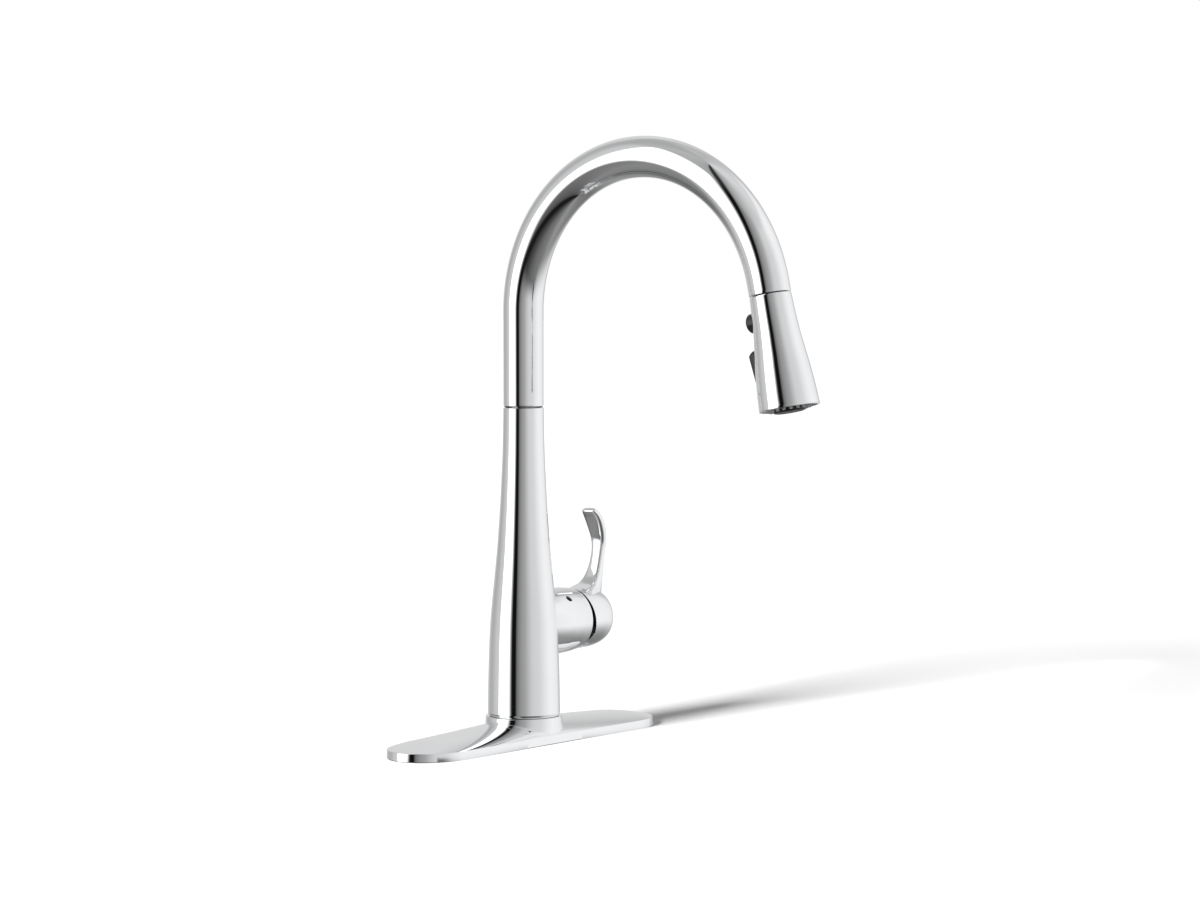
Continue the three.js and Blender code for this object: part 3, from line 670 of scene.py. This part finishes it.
finish_piece(body(), "chrome", "base", "body_shell")

# ---------- neck ----------


def neck():
    columns = 96
    path = neck_path(235.8, 2.0, NECK_TAIL - 0.3)
    rings = []

    def upright(radius, z):
        rings.append(section((np.array([0, 0, z]), None, np.array([0, 1, 0])), radius, columns))

    root = [
        (11.0, 166), (11.2, 166.3), (11.2, 168), (10, 168), (10, 170.4),
        (11.2, 170.4), (11.2, 235.3), (13.75, 235.3), (14.0, 235.45),
    ]
    for radius, z in root:
        upright(radius, z)
    for station in path[:-1]:
        rings.append(section(station, NECK_RADIUS, columns))
    point, forward, outward = path[-1]
    rings.append(section((point - forward * 0.35, forward, outward), NECK_RADIUS, columns))
    rings.append(section((point - forward * 0.08, forward, outward), NECK_RADIUS - 0.1, columns))
    rings.append(section(path[-1], NECK_RADIUS - 0.35, columns))
    rings.append(section(path[-1], NECK_BORE, columns))
    for station in reversed(path[3:-1]):
        rings.append(section(station, NECK_BORE, columns))
    upright(8.8, 239)
    upright(8.8, 166)
    return lattice("spout_neck_skin", rings, smooth_angle=40.0)


finish_piece(neck(), "chrome", "spout", "spout_neck")

# ---------- spray head ----------


def head_shell():
    outside = smooth_profile([(13.95, 0.9), *HEAD_OUTSIDE[1:]], 60)
    inside = [
        (18.6, 76.1), (18.5, 71), (17.9, 63.9), (16.4, 47.7), (14.8, 34.8), (13.1, 18.6), (12.2, 2), (9.8, 2),
        (9.8, 0.3), (13.5, 0.3),
    ]
    lip = [(20.33, 75.6), (20.2, 76.1), (19.9, 76.4), (18.9, 76.4)]
    shell = turned("head_skin", [(13.8, 0.45), *outside, *lip, *inside], 128, HEAD_AXES, SEAM)
    button_axes = (ACROSS, -DOWN, FACING)
    centre = SEAM + DOWN * BUTTON_AT
    r = BUTTON_RADIUS + 0.3
    hole = turned("hole", [(0, 5), (r, 5), (r, 24), (0, 24)], 72, button_axes, centre)
    carve(shell, hole)
    carve(shell, window("window", 6.1, 32.5, 59.8, 5, 26), smooth_angle=30.0)
    polish(shell, [(SEAM, HEAD_AXES, outside)])
    return shell


def rounded_outline(half, start, end, corner, per_corner=10):
    points = []
    centres = [(half - corner, start + corner, 270), (half - corner, end - corner, 0),
               (corner - half, end - corner, 90), (corner - half, start + corner, 180)]
    for x, t, turn in centres:
        for i in range(per_corner + 1):
            a = math.radians(turn + 90 * i / per_corner)
            points.append((x + corner * math.cos(a), t + corner * math.sin(a)))
    return points


def window(name, half, start, end, low, high):
    """A straight prism with a rounded outline, square to the head's side."""
    outline = rounded_outline(half, start, end, 3.2)
    middle = (start + end) / 2

    def ring(scale, depth):
        return np.array([
            SEAM + ACROSS * (x * scale) + DOWN * (middle + (t - middle) * scale) + FACING * depth
            for x, t in outline
        ])

    return lattice(name, [ring(1e-5, low), ring(1, low), ring(1, high), ring(1e-5, high)], closed=False)


finish_piece(head_shell(), "chrome", "spray_head", "head_shell")


def boost_button():
    axes = (ACROSS, -DOWN, FACING)
    dome = [
        (6.68, 18.0), (6.5, 18.6), (6.0, 19.2), (5.2, 19.65), (4.2, 19.95), (3.2, 20.05), (2.2, 19.95),
        (1.1, 19.85), (0, 19.82),
    ]
    profile = [
        (0, 15), (3.7, 15), (3.7, 9.7), (7.3, 9.7), (7.3, 10.2), (BUTTON_RADIUS, 10.2), (BUTTON_RADIUS, 17.4),
        *dome,
    ]
    return turned("boost_button_cap", profile, 72, axes, SEAM + DOWN * BUTTON_AT, smooth_angle=50.0)


finish_piece(boost_button(), "black_plastic", "button", "boost_button")


def spray_toggle():
    """Rocker: a crowned pad that stands proud at its upper end, on a hub round the pin."""
    outline = rounded_outline(5.7, 33.6, 59.4, 3.2)
    middle = TOGGLE_AT
    crown = [
        (18.0, 33.0), (19.6, 34.4), (21.6, 36.2), (22.7, 38.4), (22.9, 40.6), (22.5, 45), (21.6, 50),
        (20.6, 55), (19.8, 60),
    ]

    def surface(x, t):
        dish = 0.45 * math.exp(-(((t - 42) / 3.5) ** 2)) + 0.3 * math.exp(-(((t - 54) / 3) ** 2))
        r = float(pchip(crown, t)[0])
        return math.sqrt(max(r * r - x * x, 1)) - dish * math.exp(-((x / 3.2) ** 2))

    rings = []
    # [share of the outline, drop below the crowned surface], after a flat back
    steps = [
        (1e-5, None), (1, None), (1, 0.7), (0.985, 0.3), (0.95, 0.08), (0.9, 0), (0.75, 0), (0.6, 0),
        (0.45, 0), (0.3, 0), (0.15, 0), (1e-5, 0),
    ]
    back = 12.6
    for scale, drop in steps:
        ring = []
        for x, t in outline:
            px, pt = x * scale, middle + (t - middle) * scale
            out = back if drop is None else surface(px, pt) - drop
            ring.append(SEAM + ACROSS * px + DOWN * pt + FACING * out)
        rings.append(np.array(ring))
    pad = lattice("spray_toggle_pad", rings, closed=False, smooth_angle=50.0)
    hub_axes = (FACING, DOWN, ACROSS)
    centre = SEAM + DOWN * middle + FACING * TOGGLE_PIN_DEPTH
    hub = turned("hub", [(0, -5.7), (2.6, -5.7), (2.6, 5.7), (0, 5.7)], 32, hub_axes, centre)
    carve(pad, hub, "UNION", 50.0)
    pin = turned("pin", [(0, -8), (1.3, -8), (1.3, 8), (0, 8)], 24, hub_axes, centre)
    carve(pad, pin, smooth_angle=50.0)
    return pad


finish_piece(spray_toggle(), "black_plastic", "toggle", "spray_toggle")


def around_face(make):
    angles = TAU * np.arange(NOZZLES) / NOZZLES
    return [make(NOZZLE_CIRCLE * math.cos(a), NOZZLE_CIRCLE * math.sin(a)) for a in angles]


def joined(name, objs):
    """One object from several, with their meshes side by side."""
    bm = bmesh.new()
    for o in objs:
        bm.from_mesh(o.data)
    mesh = bpy.data.meshes.new(name)
    bm.to_mesh(mesh)
    bm.free()
    delete(*objs)
    obj = bpy.data.objects.new(name, mesh)
    bpy.context.scene.collection.objects.link(obj)
    return obj


def face_plate():
    profile = [
        (8.3, 72.7), (18.2, 72.7), (18.2, 75.1), (18.0, 75.6), (17.5, 75.8), (16.2, 75.6), (15.8, 75.2),
        (11.5, 75.2), (11.3, 75.6), (11.2, 77.4), (10.9, 78.1), (10.2, 78.5), (9.3, 78.7), (8.6, 78.6),
        (8.3, 78.2),
    ]
    plate = turned("face_plate_ring", profile, 144, HEAD_AXES, SEAM)

    def hole(x, y):
        profile = [(0, 71), (1.75, 71), (1.75, 80), (0, 80)]
        return turned("hole", profile, 20, HEAD_AXES, SEAM + ACROSS * x + FACING * y)

    carve(plate, joined("holes", around_face(hole)))
    return plate


finish_piece(face_plate(), "black_plastic", "spray_head", "face_plate")


def nozzle_mat():
    mat = turned("mat", [(8.3, 70.4), (17.4, 70.4), (17.4, 72.4), (8.3, 72.4)], 96, HEAD_AXES, SEAM)

    def nozzle(x, y):
        profile = [
            (0, 71.4), (1.5, 71.4), (1.4, 74), (1.15, 76.4), (1.05, 77.2), (0.85, 77.5), (0.5, 77.5),
            (0.42, 77.3), (0.42, 76), (0, 76),
        ]
        return turned("nozzle", profile, 20, HEAD_AXES, SEAM + ACROSS * x + FACING * y)

    carve(mat, joined("nozzles", around_face(nozzle)), "UNION")
    mat.name = "nozzle_mat_soft"
    return mat


finish_piece(nozzle_mat(), "grey_rubber", "spray_head", "nozzle_mat")


def aerator():
    profile = [
        (0, 66), (6, 66), (6, 69.6), (8, 70.4), (8, 77.6), (7.8, 78.1), (7.4, 78.3), (6.8, 78.3), (6.5, 78.0),
        (6.4, 77.1), (0, 77.1),
    ]
    cup = turned("aerator_insert", profile, 72, HEAD_AXES, SEAM)
    cells = []
    for radius, count in ((0, 1), (2.0, 6), (4.1, 12)):
        for k in range(count):
            a = TAU * k / count
            at = SEAM + ACROSS * (radius * math.cos(a)) + FACING * (radius * math.sin(a))
            cells.append(turned("cell", [(0, 75), (0.72, 75), (0.72, 79), (0, 79)], 12, HEAD_AXES, at))
    return carve(cup, joined("cells", cells))


finish_piece(aerator(), "grey_plastic", "spray_head", "aerator")

# ---------- black ring over the cartridge nut, inside the hub: painted shade, a dark sheet standing in for the shadow in the gap round the cap ---

shade_ring_profile = [(9.6, 49.8), (18.1, 49.8), (18.1, 50.1), (17.6, 50.4), (9.9, 50.4), (9.6, 50.1)]
# painted shade: a thin black plastic ring that darkens the gap between hub and cap, laid over the brass nut
shade_ring = turned("hub_painted_shade_ring", shade_ring_profile, 96, HUB_AXES, HUB_ORIGIN)
finish_piece(shade_ring, "black_plastic", "base")

# ---------- lever ----------

# The paddle from its foot to its tip: inner edge and outer edge in XZ, half width towards the hub, and away
PADDLE = [
    ((54.0, 90.0), (80.0, 84.0), 20.0, 8.0), ((54.6, 94.6), (81.0, 89.5), 18.6, 8.2),
    ((55.6, 98.6), (81.8, 94.5), 16.2, 8.0), ((58.2, 101.6), (82.2, 98.8), 13.4, 7.6),
    ((62.6, 103.4), (82.5, 102.4), 10.9, 7.2), ((67.6, 105.2), (82.8, 105.4), 8.9, 6.8),
    ((72.0, 108.8), (83.3, 109.4), 7.2, 6.3), ((75.1, 113.2), (84.0, 114.0), 6.1, 5.8),
    ((77.3, 118.2), (84.9, 118.8), 5.4, 5.4), ((79.0, 123.4), (85.9, 123.8), 5.1, 5.2),
    ((80.1, 128.3), (86.8, 128.8), 5.1, 5.3), ((80.6, 133.2), (87.5, 134.0), 5.6, 5.7),
    ((80.0, 138.4), (87.0, 139.9), 6.4, 6.3), ((78.1, 143.8), (85.4, 145.6), 7.1, 6.9),
    ((75.8, 149.0), (82.8, 151.1), 7.5, 7.1), ((73.8, 152.4), (80.0, 155.1), 7.3, 6.9),
    ((72.1, 154.7), (77.4, 157.7), 6.9, 6.4), ((71.0, 156.3), (75.2, 158.8), 6.2, 5.7),
]


def paddle_section(thick, near, far):
    """Half of a section as (distance from the inner face, sideways) pairs: flat inside, rounder outside."""
    points = []
    for k in range(25):
        a = math.pi * (k / 24 - 0.5)
        power = 2 / 3.4 if a < 0 else 2 / 2.3
        through = math.copysign(abs(math.sin(a)) ** power, a)
        share = 0.5 + 0.5 * through
        points.append((thick * share, (near + (far - near) * share) * abs(math.cos(a)) ** power))
    return points


def spline(values, steps):
    """Catmull-Rom curve through rows of numbers."""
    values = np.asarray(values, float)
    padded = np.vstack([2 * values[0] - values[1], values, 2 * values[-1] - values[-2]])
    out = []
    for i in range(len(values) - 1):
        p0, p1, p2, p3 = padded[i : i + 4]
        for t in np.arange(steps) / steps:
            out.append(0.5 * (2 * p1 + (p2 - p0) * t + (2 * p0 - 5 * p1 + 4 * p2 - p3) * t**2
                              + (3 * p1 - p0 - 3 * p2 + p3) * t**3))
    out.append(values[-1])
    return np.array(out)


def paddle():
    rows = spline([[*inner, *outer, near, far] for inner, outer, near, far in PADDLE], 6)

    def ring(row, shrink=1.0, lift=0.0):
        inner, outer = row[0:2], row[2:4]
        thick = float(np.linalg.norm(outer - inner))
        through = (outer - inner) / thick
        rise = np.array([-through[1], through[0]]) * lift
        half = paddle_section(thick, row[4], row[5])
        points = []
        for deep, side in half + [(d, -y) for d, y in half[-2:0:-1]]:
            x, z = inner + through * (thick / 2 + (deep - thick / 2) * shrink) + rise
            points.append((x, side * (0.4 + 0.6 * shrink), z))
        return np.array(points)

    rings = [ring(row) for row in rows]
    start = rings[0].mean(0)
    rings.insert(0, start + 1e-5 * (rings[0] - start))
    for k in range(1, 6):
        b = math.pi / 2 * k / 6
        rings.append(ring(rows[-1], 1 - 0.75 * (1 - math.cos(b)), 1.5 * math.sin(b)))
    middle = rings[-1].mean(0)
    rings += [middle + 0.5 * (rings[-1] - middle), middle + 1e-5 * (rings[-1] - middle)]
    return lattice("paddle", rings, closed=False, smooth_angle=60.0)


def handle():
    cap_profile = smooth_profile(CAP_OUTSIDE[:-1], 50)
    solid = [(0, 44), (21.9, 44), *cap_profile, (6, 84.1), (3, 84.5), (0, 84.6)]
    cap = turned("handle_skin", solid, 128, HUB_AXES, HUB_ORIGIN)
    carve(cap, paddle(), "UNION")
    hollow = [(0, 40), (CAVITY_RADIUS, 40), (CAVITY_RADIUS, 64), (17, 70), (12, 73), (0, 74)]
    cavity = turned("cavity", hollow, 96, HUB_AXES, HUB_ORIGIN)
    post = turned("post", [(0, 58), (7, 58), (7, 78), (0, 78)], 48, HUB_AXES, HUB_ORIGIN)
    carve(cavity, post)
    carve(cap, cavity)
    tilt = math.atan2(CAP_RIM_BOTTOM - CAP_RIM_TOP, CAP_DIAMETER)
    rim_middle = Vector(((CAP_RIM_TOP + CAP_RIM_BOTTOM) / 2, 0, HUB_HEIGHT)) * MM
    slab = slab_object("slab", (-45, 0), (-45, 45), (-45, 45))
    slab.data.transform(Matrix.Translation(rim_middle) @ Matrix.Rotation(-tilt, 4, "Y"))
    carve(cap, slab)
    carve(cap, slab_object("slot", (50, 64.4), (-2.7, 2.7), (HUB_HEIGHT - 3.3, HUB_HEIGHT + 3.3)))
    low, r = HUB_HEIGHT - 26, PUSH_HOLE_RADIUS
    hole = turned("hole", [(0, low), (r, low), (r, HUB_HEIGHT), (0, HUB_HEIGHT)], 40, origin=(62, 0, 0))
    carve(cap, hole, smooth_angle=38.0)
    polish(cap, [(HUB_ORIGIN, HUB_AXES, cap_profile)])
    return cap


def slab_object(name, xs, ys, zs):
    corners = [(x, y, z) for x in xs for y in ys for z in zs]
    faces = [(0, 1, 3, 2), (4, 6, 7, 5), (0, 4, 5, 1), (2, 3, 7, 6), (0, 2, 6, 4), (1, 5, 7, 3)]
    return mesh_object(name, corners, faces)


finish_piece(handle(), "chrome", "handle", "handle_lever")

# ---------- hose ----------


def hose_tube(name, stations, lengths, strands=16):
    """A hose wall, inside and outside and joined at both ends, with the weave's UVs along its length."""
    columns = 48
    outer = [section(st, HOSE_RADIUS, columns) for st in stations]
    inner = [section(st, HOSE_BORE, columns) for st in reversed(stations)]
    rings = outer + inner
    along = list(lengths) + list(reversed(lengths))
    rows = len(rings)
    vertices = np.concatenate(rings)
    faces, uvs = [], []
    pitch = TAU * HOSE_RADIUS / strands
    for i in range(rows):
        j = (i + 1) % rows
        for k in range(columns):
            n = (k + 1) % columns
            faces.append((i * columns + k, i * columns + n, j * columns + n, j * columns + k))
            u0, u1 = strands * k / columns, strands * (k + 1) / columns
            v0, v1 = along[i] / pitch, along[j] / pitch
            uvs += [(u0, v0), (u1, v0), (u1, v1), (u0, v1)]
    mesh = bpy.data.meshes.new(name)
    mesh.from_pydata([tuple(v) for v in vertices * MM], [], faces)
    layer = mesh.uv_layers.new(name="weave")
    layer.data.foreach_set("uv", np.array(uvs, float).ravel())
    obj = bpy.data.objects.new(name, mesh)
    bpy.context.scene.collection.objects.link(obj)
    bm = bmesh.new()
    bm.from_mesh(mesh)
    if bm.calc_volume(signed=True) < 0:
        bmesh.ops.reverse_faces(bm, faces=bm.faces)
    bm.to_mesh(mesh)
    bm.free()
    shade(obj, 40.0)
    return obj


def spray_hose():
    stations = neck_path(-84.0, 2.5, 0)
    steps = [0.0]
    for a, b in zip(stations, stations[1:]):
        steps.append(steps[-1] + float(np.linalg.norm(b[0] - a[0])))
    return hose_tube("spray_hose_braided", stations, steps)


finish_piece(spray_hose(), "braid", "spout", "spray_hose")


def pulled_hose():
    """The length of hose that follows the head out of the neck. At rest it is packed into the dock."""
    start, end, last = -7.5, -1.5, 3.0
    stations, lengths = [], []
    for t in [*np.linspace(start, end, 90), *np.linspace(end, last, 6)[1:]]:
        share = min(1.0, max(0.0, (t - start) / (end - start)))
        weight = share * share * (3 - 2 * share)
        stations.append((SEAM + DOWN * t, DOWN, FACING))
        lengths.append(t + HOSE_PULL * weight)
    obj = hose_tube("pulled_hose_braided", stations, lengths)
    obj.data.materials.append(FINISH["braid"])
    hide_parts("hose_tail")
    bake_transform(obj)
    return obj


pulled_hose()

# ---------- under the counter ----------


def threaded(name, radius, bore, low, high, pitch, depth, columns=96):
    """A tube with a helical thread on its outside."""
    per_turn = 8
    count = int((high - low) / pitch * per_turn)
    rings = []
    a = np.arange(columns) * TAU / columns
    for i in range(count + 1):
        z = low + (high - low) * i / count
        phase = (z / pitch - a / TAU) % 1.0
        crest = np.clip(1.5 - 4 * np.abs(phase - 0.5), 0, 1)
        fade = min(1.0, (z - low) / pitch, (high - z) / pitch)
        r = radius - depth * (1 - crest * fade)
        rings.append(np.stack([r * np.cos(a), r * np.sin(a), np.full(columns, z)], 1))
    for r, z in ((bore + 0.5, high), (bore, high - 0.5), (bore, low + 0.5), (bore + 0.5, low)):
        rings.append(np.stack([r * np.cos(a), r * np.sin(a), np.full(columns, z)], 1))
    return lattice(name, rings, smooth_angle=50.0)


shank = threaded("threaded_shank", SHANK_RADIUS, 13.0, -62.0, 33.6, pitch=2.0, depth=0.7)
finish_piece(shank, "brass", "base", "shank")


def washer(name, inner, outer, low, high, round_off):
    o = round_off
    profile = [
        (inner, low + o), (inner + o, low), (outer - o, low), (outer - 0.3 * o, low + 0.3 * o),
        (outer, low + o), (outer, high - o), (outer - 0.3 * o, high - 0.3 * o), (outer - o, high),
        (inner + o, high), (inner, high - o),
    ]
    return turned(name, profile, 96)


rubber_ring = washer("rubber_washer_ring", 16.7, 31, -41, -38, 0.5)
finish_piece(rubber_ring, "rubber", "base", "clamp_rubber_washer")
steel_ring = washer("steel_washer_ring", 16.7, 30.5, -43.3, -41.3, 0.25)
finish_piece(steel_ring, "steel", "base", "clamp_steel_washer")


def mounting_nut():
    """Hexagon nut with chamfered corners and two holes for the clamp screws."""
    profile = [(0, -59), (28, -59), (31, -57.6), (31, -48.4), (28, -47), (0, -47)]
    blank = turned("mounting_nut_hex", profile, 96)
    a = TAU * np.arange(6) / 6
    hexagon = [np.stack([k * 31 * np.cos(a), k * 31 * np.sin(a), np.full(6, z)], 1)
               for k, z in ((1e-5, -60.0), (1, -60.0), (1, -46.0), (1e-5, -46.0))]
    carve(blank, lattice("hexagon", hexagon, closed=False), "INTERSECT")
    bore = [
        (0, -61), (17.4, -61), (17.4, -59), (16.7, -58.3), (16.7, -47.7), (17.4, -47), (17.4, -45), (0, -45),
    ]
    screw = [(0, -61), (2.8, -61), (2.8, -45), (0, -45)]
    tools = [turned("bore", bore, 96)]
    tools += [turned("screw", screw, 32, origin=(x, 0, 0)) for x in (-23.4, 23.4)]
    carve(blank, joined("tools", tools), smooth_angle=28.0)
    return blank


finish_piece(mounting_nut(), "brass", "base", "mounting_nut")


def hose_coupling():
    ridges = []
    for k in range(7):
        z = -98.6 + 1.3 * k
        ridges += [(8.6, z), (8.35, z + 0.35), (8.35, z + 0.65), (8.6, z + 1.0)]
    profile = [
        (3.5, -105.6), (3.9, -106), (6.7, -106), (7, -105.6), (7, -100), (8.3, -99), *ridges, (8.6, -90),
        (7.8, -89), (7.8, -76.2), (7.4, -75), (6.3, -75), (6.3, -84.3), (3.5, -84.3),
    ]
    return turned("hose_coupling_turned", profile, 72, smooth_angle=28.0)


finish_piece(hose_coupling(), "brass", "spout", "hose_coupling")


def gasket():
    rings = []
    angles = plate_angles()

    def ring(reach, z):
        rings.append(np.array([(reach(a) * math.cos(a), reach(a) * math.sin(a), z) for a in angles]))

    for inset, z in ((3.6, 0.0), (3.3, 0.3), (3.3, 2.6), (3.6, 2.9)):
        ring(lambda a: outline_reach(a) - inset, z)
    for z in (2.9, 0.0):
        ring(lambda a: 17.4, z)
    return lattice("deck_gasket_moulded", rings)


finish_piece(gasket(), "rubber", "base", "deck_gasket")

# ---------- the CAD nodes that stay ----------

for node_name, node in frame["nodes"].items():
    if not node.hide_render:
        node.data.materials.clear()
        screw = node_name in ("cartridge_lock_screw", "handle_set_screw")
        node.data.materials.append(black_oxide if screw else FINISH[slot_of[node_name]])

# ---------- floor, light and surroundings ----------


def floor():
    half = 9.0
    mesh = bpy.data.meshes.new("floor")
    corners = [(-half, -half, 0), (half, -half, 0), (half, half, 0), (-half, half, 0)]
    mesh.from_pydata(corners, [], [(0, 1, 2, 3)])
    obj = bpy.data.objects.new("floor", mesh)
    bpy.context.scene.collection.objects.link(obj)
    g = Graph("pale_floor")
    g.set(Specular_IOR_Level=0.0)
    tint = g.colours(g.noise(1.5, 2.0), (0.3, (0.93, 0.93, 0.93)), (0.7, (0.95, 0.95, 0.95)))
    mesh.materials.append(g.finish(tint, g.remap(g.noise(8.0), 0.9, 1.0)))
    obj.visible_glossy = False


floor()


def key_light():
    """A broad low light on the -X side, which throws a long soft shadow along +X."""
    data = bpy.data.lights.new("key", "SUN")
    data.energy = 7.3
    data.angle = math.radians(15.0)
    obj = bpy.data.objects.new("key", data)
    bpy.context.scene.collection.objects.link(obj)
    toward = Vector((-1.0, 0.0, 0.45)).normalized()
    obj.location = toward * 2.4
    obj.rotation_euler = (-toward).to_track_quat("-Z", "Y").to_euler()
    obj.visible_glossy = False


key_light()


def linear(shown):
    return ((shown + 0.055) / 1.055) ** 2.4 if shown > 0.04 else shown / 12.92


def surroundings():
    """What the plating mirrors: pale studio walls, a tall softbox and a narrow black flag beside it."""
    world = bpy.data.worlds.new("studio")
    world.use_nodes = True
    bpy.context.scene.world = world
    tree = world.node_tree
    nodes, links = tree.nodes, tree.links
    background = nodes["Background"]

    def node(kind, **settings):
        n = nodes.new(kind)
        for key, value in settings.items():
            setattr(n, key, value)
        return n

    def dot(vector):
        d = node("ShaderNodeVectorMath", operation="DOT_PRODUCT")
        links.new(coords.outputs["Generated"], d.inputs[0])
        d.inputs[1].default_value = vector
        return d.outputs["Value"]

    def value_math(operation, a, b=None):
        m = node("ShaderNodeMath", operation=operation)
        for socket, value in zip(m.inputs, (a, b)):
            if value is None:
                continue
            if isinstance(value, (int, float)):
                socket.default_value = value
            else:
                links.new(value, socket)
        return m.outputs[0]

    def ramp(fac, stops):
        r = node("ShaderNodeValToRGB")
        elements = r.color_ramp.elements
        while len(elements) < len(stops):
            elements.new(0.5)
        for element, (position, level) in zip(elements, stops):
            element.position = position
            element.color = (level, level, level, 1.0)
        links.new(fac, r.inputs["Fac"])
        return r.outputs["Color"]

    def mix(fac, a, b):
        m = node("ShaderNodeMix", data_type="RGBA")
        for socket, value in ((m.inputs[0], fac), (m.inputs[6], a), (m.inputs[7], b)):
            if isinstance(value, (int, float)):
                socket.default_value = (value, value, value, 1.0)
            else:
                links.new(value, socket)
        return m.outputs[2]

    def smooth(value, start, end):
        m = node("ShaderNodeMapRange", interpolation_type="SMOOTHSTEP")
        m.inputs["From Min"].default_value = start
        m.inputs["From Max"].default_value = end
        links.new(value, m.inputs["Value"])
        return m.outputs["Result"]

    coords = node("ShaderNodeTexCoord")
    front = tuple(-CAMERA_HEADING.normalized())
    right = (-front[1], front[0], 0.0)
    ahead, aside, up = dot(front), dot(right), dot((0.0, 0.0, 1.0))
    turn = value_math("ARCTAN2", aside, ahead)
    place = value_math("ADD", value_math("DIVIDE", turn, TAU), 0.5)

    # [degrees to the right of the front, level as it should look in the plating]
    walls = [
        (-180, 0.83), (-162, 0.81), (-150, 0.75), (-138, 0.68), (-126, 0.67), (-114, 0.71), (-102, 0.77),
        (-88, 0.79), (-85, 1.3), (-50, 1.2), (-44, 0.72), (-39, 0.13), (-35, 0.06), (-26, 0.06), (-22, 0.4),
        (-16, 0.5), (-6, 0.58), (6, 0.63), (18, 0.73), (30, 0.8), (54, 0.83), (78, 0.91), (96, 0.945),
        (120, 0.93), (138, 0.9), (152, 0.76), (162, 0.73), (180, 0.83),
    ]
    ceiling = [
        (-180, 0.72), (-150, 0.66), (-120, 0.66), (-90, 0.7), (-60, 0.67), (-42, 0.62), (-37, 0.18),
        (-26, 0.18), (-20, 0.55), (-6, 0.65), (30, 0.75), (90, 0.83), (130, 0.82), (160, 0.7), (180, 0.72),
    ]
    ground = [
        (-180, 0.58), (-160, 0.53), (-150, 0.44), (-138, 0.32), (-128, 0.4), (-114, 0.49), (-90, 0.52),
        (-66, 0.44), (-44, 0.32), (-36, 0.1), (-24, 0.1), (-16, 0.2), (0, 0.29), (18, 0.38), (40, 0.44),
        (60, 0.46), (90, 0.56), (110, 0.55), (130, 0.5), (160, 0.44), (180, 0.58),
    ]

    def round_the_room(stops):
        return ramp(place, [(0.5 + angle / 360, linear(level) / 0.92) for angle, level in stops])

    above = mix(smooth(up, 0.68, 0.8), round_the_room(walls), round_the_room(ceiling))
    downward = value_math("MULTIPLY", up, -1.0)
    quick_fall = smooth(downward, 0.14, 0.38)
    slow_fall = smooth(downward, 0.14, 0.64)
    on_right = smooth(turn, 0.8, 1.3)
    fall = value_math("ADD", value_math("MULTIPLY", slow_fall, on_right),
                      value_math("MULTIPLY", quick_fall, value_math("SUBTRACT", 1.0, on_right)))
    below = mix(fall, above, round_the_room(ground))
    path = node("ShaderNodeLightPath")
    fill = 0.24  # even light on the floor and the matt pieces
    seen = mix(path.outputs["Is Diffuse Ray"], below, fill)
    links.new(mix(path.outputs["Is Camera Ray"], seen, 1.0), background.inputs["Color"])


surroundings()

bpy.context.scene.view_settings.view_transform = "Standard"
